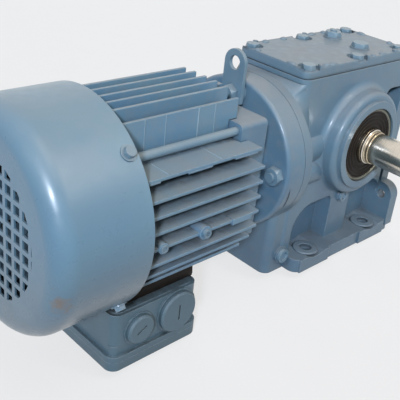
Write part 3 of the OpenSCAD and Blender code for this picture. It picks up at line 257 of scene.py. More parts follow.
@dataclass(frozen=True)
class Enamel(Finish):
    """Machine enamel sprayed over cast iron, cast aluminium or pressed steel."""

    ground: Ground = Ground.SAND_CAST
    # The dust tone pales what faces up, partly as dust and partly as painted top light; the specks take it
    # too.
    dust_and_light: str = "#8f9090"
    dust_and_light_share: float = 0.62
    # The hollow tone darkens corners and gaps where little of the sky is open: painted shade.
    hollow_shade: str = "#41474a"
    hollow_shade_share: float = 0.55
    hollow_shade_mm: float = 9.0
    hollow_shade_from: float = 0.75
    hollow_shade_full: float = 0.15
    # The low tone darkens what stands low: painted shade.
    oil_film_and_low_shade: str = "#3a5163"
    low_shade_share: float = 0.0
    low_shade_mm: Pair = (95.0, 20.0)
    # The chip tone pales the edges: partly wear, partly painted highlight.
    chip_and_edge_highlight: str = "#9fb0b8"
    specks: float = 0.25
    stain: str = "#8a7460"
    stain_share: float = 0.0
    stain_at: Point = (-0.411, -0.0946, 0.1115)
    coat: float = 0.3
    coat_roughness: float = 0.18

    def paint(self, tree: Tree, shader: Node) -> None:
        """Two close tones of enamel, a dusty pale tone with painted top light on what faces up, painted shade
        in corners and gaps, and paler edges, partly rubbed and partly painted highlight.

        Args:
            tree: the material's node tree.
            shader: its main shader.
        """
        normal, edge = self.soft_edge(tree)
        # Cloudy drift of tone where the spray lay thicker, some 70 mm wide, with 9 mm specks in it.
        broad = self.noise(tree, 70, 2)
        fine = self.noise(tree, 9, 4)
        colour = self.two_tones(tree, broad)
        speckled = self.ramp(tree, fine, 0.45, 0.75, 0.0, self.specks)
        colour = self.blend(tree, speckled, colour, linear(self.dust_and_light))
        # Faces that look up turn paler: partly dust, partly painted top light.
        top_dust_and_light = self.dust_and_light_on_top(tree, normal)
        colour = self.blend(tree, top_dust_and_light, colour, linear(self.dust_and_light))
        # What stands low turns darker: painted shade.
        if self.low_shade_share:
            colour = self.blend(tree, self.low_shade(tree), colour, linear(self.oil_film_and_low_shade))
        # Corners and the gaps between fins, where little of the sky is open, turn darker: painted shade,
        # broken up by noise.
        open_sky = add_node(tree, "AmbientOcclusion", {"Distance": self.hollow_shade_mm * MM},
                            samples=8).outputs["AO"]
        hollow_shade_mask = self.ramp(tree, open_sky, self.hollow_shade_from, self.hollow_shade_full, 0.0, self.hollow_shade_share)
        hollow_shade_mask = self.times(tree, hollow_shade_mask, self.ramp(tree, fine, 0.35, 0.6, 0.45, 1.0))
        colour = self.blend(tree, hollow_shade_mask, colour, linear(self.hollow_shade))
        if self.stain_share:
            colour = self.blend(tree, self.oil_mark(tree), colour, linear(self.stain))
        # Handling wears the coat thin along edges, broken up at 5 mm; nothing rubs in a closed corner.
        # The paler edge tone is partly this wear and partly painted highlight.
        worn_and_lit_edge = self.broken(tree, edge, 5, 3, (0.35, 0.62), (0.1, 0.75))
        worn_and_lit_edge = self.times(tree, worn_and_lit_edge, self.ramp(tree, open_sky, 0.5, 0.72))
        colour = self.blend(tree, worn_and_lit_edge, colour, linear(self.chip_and_edge_highlight))
        # Dust takes the gloss away.
        rough = self.plus(tree, self.uneven(tree, fine, 0.07, 0.12), self.times(tree, top_dust_and_light, 0.25))
        # The grain is drawn at 1.2 mm or more; real sand is 0.3 mm and wouldn't show at this distance.
        under = self.ground.value
        grain = self.bump(tree, self.noise(tree, under.grain_mm, 2), normal, under.grain_depth_mm)
        wave = self.bump(tree, self.noise(tree, under.wave_mm, 2), grain, under.wave_depth_mm)
        self.wire(tree, shader, colour, rough, wave)
        shader.inputs["IOR"].default_value = ENAMEL_IOR
        shader.inputs["Coat Weight"].default_value = self.coat
        shader.inputs["Coat Roughness"].default_value = self.coat_roughness

    def dust_and_light_on_top(self, tree: Tree, normal: Socket) -> Socket:
        """Pales faces that look up, in clouds some 24 mm wide: partly a dusty coating, partly painted top
        light.
        """
        lying = self.ramp(tree, self.rise(tree, normal), 0.25, 0.95, 0.0, self.dust_and_light_share)
        return self.broken(tree, lying, 24, 5, (0.3, 0.6), (0.6, 1.0))

    def low_shade(self, tree: Tree) -> Socket:
        """Darkens what stands low, in clouds some 24 mm wide: painted shade."""
        low = self.ramp(tree, self.rise(tree, self.place(tree)), *(level * MM for level in self.low_shade_mm),
                        0.0, self.low_shade_share)
        return self.broken(tree, low, 24, 4, (0.3, 0.6), (0.75, 1.0))

    def rise(self, tree: Tree, vector: Socket) -> Socket:
        """Gives the upward part of a vector."""
        return add_node(tree, "SeparateXYZ", {0: vector}).outputs["Z"]

    def oil_mark(self, tree: Tree) -> Socket:
        """Leaves one brown oil mark some 20 mm wide, with a ragged rim."""
        away = add_node(tree, "VectorMath", {0: self.place(tree), 1: self.stain_at}, operation="DISTANCE")
        return self.ramp(tree, self.broken(tree, away.outputs["Value"], 7, 3, (0.3, 0.7), (0.6, 1.5)),
                         12 * MM, 4 * MM, 0.0, self.stain_share)


@dataclass(frozen=True)
class TurnedMetal(Finish):
    """Steel, bronze or cast iron that was turned or ground round an axis."""

    metallic: float = 1.0
    spindle: Spindle = Spindle.OUTPUT
    line_mm: float = 0.9
    line_depth_mm: float = 0.006
    stain: str = "#6b5340"
    stain_share: float = 0.25
    # Edge tone: a painted highlight along the edges.
    edge_highlight: str = "#e8e6e0"

    def paint(self, tree: Tree, shader: Node) -> None:
        """Fine rings round the axis, a drift of tone, a trace of old oil and a painted highlight along the
        edges.

        Args:
            tree: the material's node tree.
            shader: its main shader.
        """
        normal, edge = self.soft_edge(tree)
        # Grinding lines are 0.05 mm apart on the real part; drawn 0.9 mm apart so that they show.
        rings = add_node(tree, "TexNoise", {"W": self.travel(tree), "Scale": 1 / MM / self.line_mm,
                                            "Detail": 3.0}, noise_dimensions="1D").outputs[0]
        cloud = self.noise(tree, 16, 4)
        colour = self.blend(tree, self.ramp(tree, rings, *ROUGH_SPAN, 0.0, 0.6),
                            linear(self.colour), linear(self.second))
        oil_film_and_low_shade = self.ramp(tree, cloud, 0.46, 0.68, 0.0, self.stain_share)
        colour = self.blend(tree, oil_film_and_low_shade, colour, linear(self.stain))
        # Paler edges: painted highlight.
        colour = self.blend(tree, self.times(tree, edge, 0.5), colour, linear(self.edge_highlight))
        rough = self.plus(tree, self.uneven(tree, rings, 0.05, 0.08), self.times(tree, oil_film_and_low_shade, 0.5))
        self.wire(tree, shader, colour, rough, self.bump(tree, rings, normal, self.line_depth_mm, 0.5))

    def travel(self, tree: Tree) -> Socket:
        """Gives how far out from the axis and along it a point lies, which is one value on each ring.

        Args:
            tree: the material's node tree.

        Returns:
            The sum of both, in metres.
        """
        centre, along = self.spindle.value
        across = tuple(1.0 - a for a in along)
        local = add_node(tree, "VectorMath", {0: self.place(tree), 1: centre},
                         operation="SUBTRACT").outputs[0]
        flat = add_node(tree, "VectorMath", {0: local, 1: across}, operation="MULTIPLY").outputs[0]
        radius = add_node(tree, "VectorMath", {0: flat}, operation="LENGTH").outputs["Value"]
        reach = add_node(tree, "VectorMath", {0: local, 1: along}, operation="DOT_PRODUCT")
        return self.plus(tree, radius, reach.outputs["Value"])


@dataclass(frozen=True)
class RawMetal(Finish):
    """Plated, cast, stamped or wound metal with no turning lines."""

    metallic: float = 1.0
    patch_mm: float = 6.0
    grain_mm: float = 0.8
    grain_depth_mm: float = 0.03
    stretch: Point = (1.0, 1.0, 1.0)
    # Edge tone: a painted highlight along the edges.
    edge_highlight: str = "#d8dadb"

    def paint(self, tree: Tree, shader: Node) -> None:
        """Patches of two tones, a fine grain and a painted highlight along the edges.

        Args:
            tree: the material's node tree.
            shader: its main shader.
        """
        normal, edge = self.soft_edge(tree)
        patch = self.noise(tree, self.patch_mm, 4, self.stretch)
        colour = self.two_tones(tree, patch)
        # Paler edges: painted highlight.
        colour = self.blend(tree, self.times(tree, edge, 0.4), colour, linear(self.edge_highlight))
        rough = self.uneven(tree, patch, 0.06, 0.12)
        grain = self.noise(tree, self.grain_mm, 3, self.stretch)
        self.wire(tree, shader, colour, rough, self.bump(tree, grain, normal, self.grain_depth_mm))


@dataclass(frozen=True)
class Moulded(Finish):
    """Rubber, nylon, thermoset or fibre sheet as it left the mould or the press."""

    patch_mm: float = 8.0
    grain_mm: float = 0.9
    grain_depth_mm: float = 0.03
    shine: float = 0.5
    dust_and_light: str = "#8a8880"

    def paint(self, tree: Tree, shader: Node) -> None:
        """A matt skin with a slow drift of tone, fine pits and paler edges, partly dusty and partly painted
        highlight.

        Args:
            tree: the material's node tree.
            shader: its main shader.
        """
        normal, edge = self.soft_edge(tree)
        patch = self.noise(tree, self.patch_mm, 4)
        colour = self.two_tones(tree, patch)
        # Paler edges: partly dust, partly painted highlight.
        colour = self.blend(tree, self.times(tree, edge, 0.25), colour, linear(self.dust_and_light))
        rough = self.uneven(tree, patch, 0.08, 0.1)
        pits = self.noise(tree, self.grain_mm, 3)
        self.wire(tree, shader, colour, rough, self.bump(tree, pits, normal, self.grain_depth_mm))
        shader.inputs["Specular IOR Level"].default_value = self.shine


# Enamel over sand-cast iron: a satin coat that lets the sand grain show and gathers dust on top, with painted
# top light; its hollows and its lower part are darkened with painted shade.
CASTING = Enamel("machine_enamel_on_sand_cast_iron", "machine_paint", "#628297", "#6d8b9c", roughness=0.40,
                 edge_mm=1.8, hollow_shade_mm=22.0, low_shade_share=0.45)
# The same casting enamel on the lid of the case, whose rim is drawn down in a broad soft slope.
LID_CASTING = replace(CASTING, name="machine_enamel_on_soft_edged_casting", edge_mm=4.5, chip_and_edge_highlight="#7f98a6")
# Enamel over die-cast aluminium fins: thinner and smoother, so the fins look crisper than the case.
# Deep in the gaps between the fins the enamel is darkened nearly to black: painted shade.
HOUSING = Enamel("machine_enamel_on_cast_aluminium", "machine_paint", "#6c93ae", "#779baf", roughness=0.42,
                 ground=Ground.DIE_CAST, edge_mm=1.2, dust_and_light="#999a97", chip_and_edge_highlight="#a9c6d5", hollow_shade="#12181c",
                 hollow_shade_share=0.85, hollow_shade_mm=30.0, hollow_shade_from=0.34, hollow_shade_full=0.08)
# The thin ridges that the mould leaves on the fins, painted pale for the light they catch where they stand
# proud: painted highlight.
RIDGE = replace(HOUSING, name="highlight_enamel_on_mould_ridges", colour="#9dbccd", second="#abc6d3",
                dust_and_light_share=0.2)
# The end shield behind the fan: the same enamel, painted dark for the shade it stands in under the cover:
# painted shade.
SHADED_SHIELD = replace(HOUSING, name="shaded_enamel_behind_the_fan", colour="#24323c", second="#2c3a43",
                        dust_and_light="#3c4246", chip_and_edge_highlight="#3f4f59")
# Enamel over a deep-drawn steel cover: smooth and slightly glossy, with a long soft highlight.
# Its lower part is darkened with painted shade.
COVER = Enamel("machine_enamel_on_drawn_steel", "machine_paint", "#6b93ab", "#739aae", roughness=0.30,
               ground=Ground.PRESSED, edge_mm=0.4, dust_and_light="#929da2", dust_and_light_share=0.5, specks=0.04,
               chip_and_edge_highlight="#b5c4cb", stain_share=0.85, coat=0.5, coat_roughness=0.3, oil_film_and_low_shade="#5b6c76",
               low_shade_share=0.75, low_shade_mm=(160.0, 60.0))
# The floor of a slot, where light hardly reaches, painted nearly black for the shade deep in it: painted
# shade.
SHADED_SLOT_FLOOR = Enamel("painted_shade_enamel_in_a_slot", "machine_paint", "#1d2933", "#25323c", roughness=0.6,
              ground=Ground.TURNED, edge_mm=0.3, dust_and_light="#2b363d")
# Enamel over turned flange faces: flat, with the faint lines of the lathe under the coat.
FLANGE = Enamel("machine_enamel_on_turned_iron", "machine_paint", "#5f829a", "#6a8a9e", roughness=0.38,
                ground=Ground.TURNED, edge_mm=0.7, dust_and_light="#999997")
# Enamel on the die-cast terminal box, duller than the rest; the broad darkening where it hangs under the
# motor and the fan cover is painted shade.
BOX = Enamel("dull_enamel_on_die_cast_aluminium", "box_paint", "#4d6774", "#57717d", roughness=0.46,
             ground=Ground.DIE_CAST, edge_mm=1.2, dust_and_light="#74828a", dust_and_light_share=0.4, coat=0.2, hollow_shade="#26261f",
             hollow_shade_share=0.85, hollow_shade_mm=40.0, hollow_shade_from=0.72, hollow_shade_full=0.22)
# Painted fasteners: the coat fills their small corners, and the corners of the hexagon are paler, partly
# chipped and partly painted highlight.
FASTENER = Enamel("machine_enamel_on_steel_fasteners", "machine_paint", "#6d8da0", "#7d99a8", roughness=0.38,
                  ground=Ground.TURNED, edge_mm=0.5, dust_and_light="#98a1a3", chip_and_edge_highlight="#b9c4c8")
# Ground carbon steel, lightly oiled: bright, with fine rings and a warm brown trace of oil.
SHAFT_STEEL = TurnedMetal("ground_shaft_steel", "ground_steel", "#eae2d5", "#d2c8b6", roughness=0.17,
                          edge_mm=0.5, stain_share=0.10, line_depth_mm=0.002)
ROTOR_STEEL = replace(SHAFT_STEEL, name="ground_rotor_steel", spindle=Spindle.MOTOR)
# The sleeve is only turned, so it is duller than the shaft that it sits on.
SLEEVE_STEEL = replace(SHAFT_STEEL, name="turned_sleeve_steel", roughness=0.32)
# Ground seat of the seal, wet with gold-brown oil.
OILED_STEEL = replace(SHAFT_STEEL, name="oiled_seat_steel", colour="#d2c9b8", second="#ab9769",
                      stain="#5e4420", stain_share=0.45)
# Pressed sheet of the shaft seal: dark brown under old oil, with a dull shine.
SEAL_STEEL = TurnedMetal("pressed_seal_case_steel", "bearing_steel", "#55504a", "#3d3832", roughness=0.42,
                         stain_share=0.5, stain="#2c241c")
# The rolled rim of the seal case, where the oil film is thinner and the steel shows olive grey.
SEAL_RIM = replace(SEAL_STEEL, name="rolled_seal_case_rim", colour="#7d8076", second="#5d5f55",
                   stain_share=0.35)
# Polished bearing rings: the hardest and smoothest steel here.
BEARING = TurnedMetal("polished_bearing_steel", "bearing_steel", "#c3c4c4", "#a4a6a7", roughness=0.16,
                      stain_share=0.1)
WORM_BEARING = replace(BEARING, name="polished_worm_bearing_steel", spindle=Spindle.WORM)
MOTOR_BEARING = replace(BEARING, name="polished_motor_bearing_steel", spindle=Spindle.MOTOR)
# Case-hardened gear steel: darker, ground along the teeth, wet with oil.
WORM_STEEL = TurnedMetal("ground_worm_steel", "gear_steel", "#8d9092", "#6b6e70", roughness=0.24,
                         spindle=Spindle.WORM, stain_share=0.35)
PINION_STEEL = replace(WORM_STEEL, name="ground_pinion_steel", spindle=Spindle.MOTOR)
# Cast tin bronze, machined: warm yellow brown with a drift of darker tone.
BRONZE = TurnedMetal("machined_tin_bronze", "bronze", "#c79a55", "#a87c3c", roughness=0.34, stain_share=0.3)
# Turned cast iron: mid grey and almost matt, because the graphite in it breaks up the shine.
HUB_IRON = TurnedMetal("turned_cast_iron", "cast_iron", "#6f7173", "#565859", roughness=0.5, stain_share=0.3)
# Tempered and blackened spring steel: dark with a blue cast and a slight shine.
SPRING = RawMetal("blackened_spring_steel", "spring_steel", "#3c3d41", "#2c2d30", roughness=0.35)
# Electroplated zinc: pale grey, cloudy, with a painted highlight on its corners.
ZINC = RawMetal("bright_zinc_plated_steel", "zinc_steel", "#aeb4b8", "#8f979c", roughness=0.3)
# Stamped and varnished sheet stack: thin dark lines across the axis.
CORE = RawMetal("varnished_core_sheet", "core_plate", "#4b4f53", "#33363a", roughness=0.5, patch_mm=8,
                stretch=(0.12, 1.0, 1.0), grain_mm=2.0, grain_depth_mm=0.1)
# Enamelled copper wire under varnish: red brown and glossy, in strands along the slots.
COPPER = RawMetal("varnished_copper_wire", "copper", "#a45c34", "#7c3f22", roughness=0.28, patch_mm=5,
                  grain_mm=1.6, grain_depth_mm=0.25, stretch=(4.0, 1.0, 1.0))
# Turned brass: yellow and bright, dulled in patches by handling.
BRASS = RawMetal("turned_brass_studs", "brass", "#c7a659", "#a98741", roughness=0.28)
# Nitrile rubber as moulded: dark brown, matt, a little dusty.
RUBBER = Moulded("moulded_nitrile_rubber", "seal_rubber", "#120e0b", "#1c1611", roughness=0.55, shine=0.2)
# Fibre sheet with cut edges: nearly black and quite matt, a thin dark line between two castings.
GASKET = Moulded("cut_fibre_gasket", "gasket", "#20211f", "#33322e", roughness=0.75)
# Glass-filled nylon fan: nearly black with a faint grain.
NYLON = Moulded("moulded_glass_filled_nylon", "fan_plastic", "#101112", "#1a1c1d", roughness=0.6)
# Pressed thermoset: brown black with the even shine of the press tool.
RESIN = Moulded("pressed_thermoset_resin", "block_plastic", "#3a3733", "#2b2926", roughness=0.42)


def facing(axis: Point, at: Point, spin: float = 0.0) -> Matrix:
    """Gives a frame whose z axis looks along an axis.

    Args:
        axis: where z points.
        at: its origin, in metres.
        spin: turn about its own z axis, in degrees.

    Returns:
        The frame as a matrix.
    """
    ahead = Vector(axis).normalized()
    guide = Vector((0, 1, 0)) if abs(ahead.z) > 0.999 else Vector(UP)
    side = guide.cross(ahead).normalized()
    turn = Matrix((side, ahead.cross(side), ahead)).transposed().to_4x4()
    return Matrix.Translation(Vector(at)) @ turn @ Matrix.Rotation(math.radians(spin), 4, "Z")


def strip(x0: float, x1: float, y0: float, y1: float, taper: float = 0.0) -> Profile:
    """Gives the four corners of a strip whose far end is narrower by the taper on both sides."""
    return (x0, y0), (x1, y0), (x1 - taper, y1), (x0 + taper, y1)


def coated(**coats: Finish) -> Any:
    """Makes the field that tells a group which finish each of its CAD nodes gets."""
    return field(default_factory=lambda: coats.copy())


@dataclass
class Assembly:
    """A group of CAD nodes with their finishes, and the detail pieces that go on them."""

    title: str = ""
    body: str = "case"
    coats: dict[str, Finish] = coated()
    made: list[bpy.types.Object] = field(default_factory=list)

    def dress(self) -> None:
        """Gives each CAD node of the group its finish."""
        for name, finish in self.coats.items():
            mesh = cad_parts[name].data
            mesh.materials.clear()
            mesh.materials.append(finish.material())
            log.info("%s: %s has %s", self.title, name, finish.name)

    def build(self) -> None:
        """Makes the detail pieces; a group without any leaves this as it is."""

    def add(self, name: str, mesh: Mesh, finish: Finish, smooth: float = 40.0) -> bpy.types.Object:
        """Turns a finished mesh into a piece that rides on the group's body.

        Args:
            name: name of the piece.
            mesh: its mesh, in metres, in the row frame.
            finish: what it is coated with.
            smooth: edges sharper than this many degrees stay sharp.

        Returns:
            The new object.
        """
        bmesh.ops.remove_doubles(mesh, verts=mesh.verts, dist=WELD)
        bmesh.ops.recalc_face_normals(mesh, faces=mesh.faces)
        for face in mesh.faces:
            face.smooth = True
        for edge in mesh.edges:
            edge.smooth = len(edge.link_faces) == 2 and edge.calc_face_angle(0.0) < math.radians(smooth)
        data = bpy.data.meshes.new(name)
        mesh.to_mesh(data)
        mesh.free()
        data.materials.append(finish.material())
        piece = put(name, data)
        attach(piece, self.body)
        self.made.append(piece)
        log.info("%s: made %s with %s", self.title, name, finish.name)
        return piece

    def skin(self, mesh: Mesh, rows: Sequence[Sequence[bmesh.types.BMVert]], ring: bool = True) -> None:
        """Joins neighbouring rows of points with four-sided faces.

        Args:
            mesh: mesh that gets the faces.
            rows: rows of its points, all of one length.
            ring: whether each row closes on itself.
        """
        count = len(rows[0])
        for one, two in zip(rows, rows[1:]):
            for i in range(count if ring else count - 1):
                j = (i + 1) % count
                mesh.faces.new((one[i], one[j], two[j], two[i]))

    def turned(self, name: str, finish: Finish, profiles: Sequence[Profile], places: Sequence[Matrix],
               steps: int = 96, smooth: float = 40.0) -> None:
        """Makes a piece by turning profiles round the z axis of each place.

        Args:
            name: name of the piece.
            finish: what it is coated with.
            profiles: radius and height pairs in millimetres; each ends at radius zero or where it began.
            places: frames whose z axes are the turning axes.
            steps: faces round an axis.
            smooth: edges sharper than this many degrees stay sharp.
        """
        mesh = bmesh.new()
        angles = [2 * math.pi * i / steps for i in range(steps)]
        for place in places:
            for profile in profiles:
                rows = [[place @ Vector((r * MM * math.cos(a), r * MM * math.sin(a), h * MM)) for a in angles]
                        for r, h in profile]
                self.skin(mesh, [[mesh.verts.new(at) for at in row] for row in rows])
        self.add(name, mesh, finish, smooth)

    def slab(self, mesh: Mesh, outline: Profile, low: float, high: float, place: Matrix,
             round_mm: float) -> None:
        """Raises a flat outline to a slab, with its rims rounded.

        Args:
            mesh: mesh that gets the slab.
            outline: corner points in millimetres, in order.
            low: height of its underside in millimetres.
            high: height of its top.
            place: frame of the outline.
            round_mm: radius of the rounding along the rims.
        """
        before = set(mesh.verts)
        under, top = ([mesh.verts.new(place @ Vector((x * MM, y * MM, h * MM))) for x, y in outline]
                      for h in (low, high))
        mesh.faces.new(under[::-1])
        mesh.faces.new(top)
        self.skin(mesh, (under, top))
        sharp = math.radians(50.0)
        rims = [e for e in mesh.edges if e.verts[0] not in before and e.calc_face_angle(0.0) > sharp]
        bmesh.ops.bevel(mesh, geom=rims, offset=round_mm * MM, segments=3, profile=0.5, affect="EDGES",
                        clamp_overlap=True)


@dataclass
class GearCase(Assembly):
    """Cast case, its cover, plugs and end caps, with the small cast marks on them."""

    title: str = "gear case"
    # Worn knuckles along the cover's rim: place, and the way that each is drawn out.
    cover_top: float = 233.4
    knuckles: tuple[Point, ...] = (
        (-68, -43.2, 0), (-58, -43.6, 0), (14, -43.6, 0), (33, -43.2, 0), (66, -43.6, 0), (81, -20, 90),
        (81, 21, 90), (-66, 43.2, 0), (-36, 43.6, 0), (14, 43.6, 0), (36, 43.6, 0), (63, 43.2, 0),
        (-99, -22, 90), (-99, 24, 90))
    knuckle_profile: Profile = ((0, 2.1), (1.6, 1.9), (3.0, 1.2), (3.7, 0.3), (3.9, -0.4), (0, -0.4))
    # Shaft seal: rolled ring, and a rubber face with three ridges and a lip at the shaft.
    seal_y: float = -69.0
    ring_profile: Profile = ((42.8, -1), (42.8, 0.3), (42.2, 0.9), (40.6, 0.9), (39.8, 0.2), (39.2, -0.9),
                             (38.9, -2), (42.8, -2), (42.8, -1))
    rubber_rim: Profile = ((38.8, -1.5), (38.8, -0.5))
    rubber_ridge: Profile = ((1.4, -0.7), (0.7, 0.1), (-0.7, 0.1), (-1.4, -0.7))
    rubber_ridge_radii: tuple[float, ...] = (36.4, 32.2, 27.6)
    rubber_lip: Profile = ((24.2, -0.9), (22.8, -0.2), (21.6, -0.2), (20.6, -0.9), (20.5, -1.5), (38.8, -1.5))
    # Turned beads round the face of each output boss.
    boss_y: float = 72.0
    boss_beads: tuple[Profile, ...] = (
        ((43.2, -0.6), (43.2, -0.1), (44.0, -0.02), (44.6, -0.3), (44.6, -0.6), (43.2, -0.6)),
        ((49.2, -0.6), (49.2, -0.2), (49.8, -0.02), (50.6, -0.3), (50.9, -1.2), (50.0, -1.6), (49.2, -0.6)))
    # Worn rims round the seats of the foot bolts.
    foot_hole: Pair = (56.0, 51.0)
    foot_top: float = 17.5
    foot_rim: Profile = ((7.0, -0.6), (7.0, 0.1), (7.5, 0.25), (8.2, 0.25), (8.8, 0.05), (12.4, 0.05),
                         (13.2, 0.0), (14.2, -0.35), (15.0, -1.0), (7.0, -1.0), (7.0, -0.6))
    # Shoulder between the round motor flange and the rim of the case.
    shoulder_half: float = 47.8
    shoulder_low: float = 168.0
    shoulder_rim: float = 217.4
    shoulder_front: float = -103.1
    shoulder_corner: float = 11.0
    shoulder_thick: float = 1.5
    flange_back: float = -113.3
    flange_r: float = 77.4
    cone_x: float = -87.2
    cone_r: float = 60.0
    cone_slope: float = 17 / 36
    coats: dict[str, Finish] = coated(
        gear_case=CASTING, case_cover=LID_CASTING, cover_gasket=GASKET, cover_bolts=FASTENER,
        breather_plug=FASTENER, filler_plug=FASTENER, level_plug=FASTENER, drain_plug=FASTENER,
        worm_end_cap=CASTING, end_cap_screws=FASTENER, flange_gasket=GASKET, oil_seal_case=SEAL_STEEL,
        oil_seal_lip=RUBBER, bore_cap=CASTING, retaining_rings=SPRING, output_bearing_outers=BEARING,
        worm_bearing_outers=WORM_BEARING)

    def build(self) -> None:
        """Makes the cast marks, the face of the shaft seal, the rims of bosses and feet, and the shoulder."""
        self.cast_marks()
        self.seal_face()
        self.boss_rims()
        self.foot_rims()
        self.shoulder()

    def cast_marks(self) -> None:
        """Raises the small worn knuckles that the casting leaves along the rim of the cover."""
        places = []
        for i, (x, y, spin) in enumerate(self.knuckles):
            # No two are drawn out alike.
            length = 1.35 + 0.35 * math.sin(2.3 * i)
            place = facing(UP, (x * MM, y * MM, self.cover_top * MM), spin)
            places.append(place @ Matrix.Diagonal((length, 1.0, 1.0, 1.0)))
        self.turned("cover_cast_marks", CASTING, [self.knuckle_profile], places, 24, 60)

    def seal_face(self) -> None:
        """Makes the pressed ring and the ridged rubber face of the shaft seal."""
        place = facing(TO_FRONT, (0, self.seal_y * MM, SHAFT_Z))
        self.turned("seal_pressed_ring", SEAL_RIM, [self.ring_profile], [place], smooth=50)
        ridges = tuple((radius + r, h) for radius in self.rubber_ridge_radii for r, h in self.rubber_ridge)
        face = self.rubber_rim + ridges + self.rubber_lip
        self.turned("seal_rubber_face", RUBBER, [face], [place], smooth=50)

    def boss_rims(self) -> None:
        """Adds the narrow turned beads that the lathe leaves round the face of each output boss."""
        places = [facing((0, side, 0), (0, side * self.boss_y * MM, SHAFT_Z)) for side in (-1, 1)]
        self.turned("boss_turned_beads", FLANGE, self.boss_beads, places, smooth=50)

    def foot_rims(self) -> None:
        """Raises the worn rim round the seat of each foot bolt."""
        x, y = self.foot_hole
        places = [facing(UP, (i * x * MM, j * y * MM, self.foot_top * MM)) for i in (-1, 1) for j in (-1, 1)]
        self.turned("foot_seat_rims", CASTING, [self.foot_rim], places, 72)

    def shoulder_edge(self) -> list[Point]:
        """Follows the upper edge of the shoulder: up the case's side, round its corner and along its front.

        Returns:
            Points across, up and along the motor's axis, in millimetres, from one side to the other.
        """
        half, rim = self.shoulder_half, self.shoulder_rim
        front, corner = self.shoulder_front, self.shoulder_corner
        edge = []
        for z in [self.shoulder_low + 6.0 * i for i in range(8)] + [214.0]:
            # The swelling is a cone here; the edge lies 0.4 mm behind its surface.
            cone = self.cone_x - (math.hypot(half, z - MOTOR_Z / MM) - self.cone_r) * self.cone_slope
            edge.append((-half, z, max(cone, front + corner) + 0.4))
        for i in range(7):
            a = math.pi / 2 * i / 6
            edge.append((-half + corner - corner * math.cos(a), rim, front + corner - corner * math.sin(a)))
        edge += [(y, rim, front) for y in (-30.0, -20.0, -10.0, 0.0)]
        return edge + [(-y, z, x) for y, z, x in reversed(edge[:-1])]

    def shoulder(self) -> None:
        """Lays the cast shoulder that sweeps from the round motor flange up to the rim of the case."""
        mesh = bmesh.new()
        rows = []
        axis = MOTOR_Z / MM
        steps = 10
        for y, z, x in self.shoulder_edge():
            reach = math.hypot(y, z - axis)
            row = []
            for i in range(steps + 1):
                t = i / steps
                out = (self.flange_r + (reach - self.flange_r) * t) / reach
                # The sweep leaves the flange flat and sags a little on its way up.
                along = self.flange_back + (x - self.flange_back) * t ** 1.25 + 1.2 * math.sin(math.pi * t)
                row.append(mesh.verts.new((along * MM, y * out * MM, MOTOR_Z + (z - axis) * out * MM)))
            rows.append(row)
        self.skin(mesh, rows, ring=False)
        piece = self.add("case_shoulder", mesh, CASTING, 170)
        depth = piece.modifiers.new("depth", "SOLIDIFY")
        depth.thickness = self.shoulder_thick * MM
        depth.offset = -1.0


@dataclass
class OutputGroup(Assembly):
    """Output shaft with the worm wheel on it."""

    title: str = "output group"
    body: str = "output"
    collar: Profile = ((17.4, 74), (19.2, 74), (19.2, 77.2), (18.7, 77.8), (17.9, 77.8), (17.8, 79.0),
                       (18.4, 79.2), (18.5, 80.4), (18.1, 80.9), (17.4, 80.9), (17.4, 74))
    track: Profile = ((19.95, 70.5), (20.06, 70.7), (20.06, 72.6), (19.95, 72.8), (19.7, 72.0), (19.95, 70.5))
    coats: dict[str, Finish] = coated(
        output_shaft=SHAFT_STEEL, worm_wheel_rim=BRONZE, wheel_hub=HUB_IRON, wheel_key=SPRING,
        shaft_sleeve=SLEEVE_STEEL, output_bearing_inners=BEARING)

    def build(self) -> None:
        """Makes the stepped collar rings and the worn track where the shaft leaves the seal."""
        place = facing(TO_FRONT, (0, 0, SHAFT_Z))
        self.turned("shaft_collar_rings", OILED_STEEL, [self.collar], [place])
        self.turned("seal_track", OILED_STEEL, [self.track], [place])


@dataclass
class WormGroup(Assembly):
    """Worm shaft with its helical gear."""

    title: str = "worm group"
    body: str = "worm"
    coats: dict[str, Finish] = coated(
        worm_shaft=WORM_STEEL, helical_gear=WORM_STEEL, gear_key=SPRING, worm_bearing_inners=WORM_BEARING,
        worm_locknut=ZINC)


@dataclass
class RotorGroup(Assembly):
    """Motor shaft with its core, pinion and fan."""

    title: str = "rotor group"
    body: str = "rotor"
    coats: dict[str, Finish] = coated(
        rotor_shaft=ROTOR_STEEL, rotor_core=CORE, pinion=PINION_STEEL, cooling_fan=NYLON, fan_clip=SPRING,
        rotor_bearing_inners=MOTOR_BEARING)


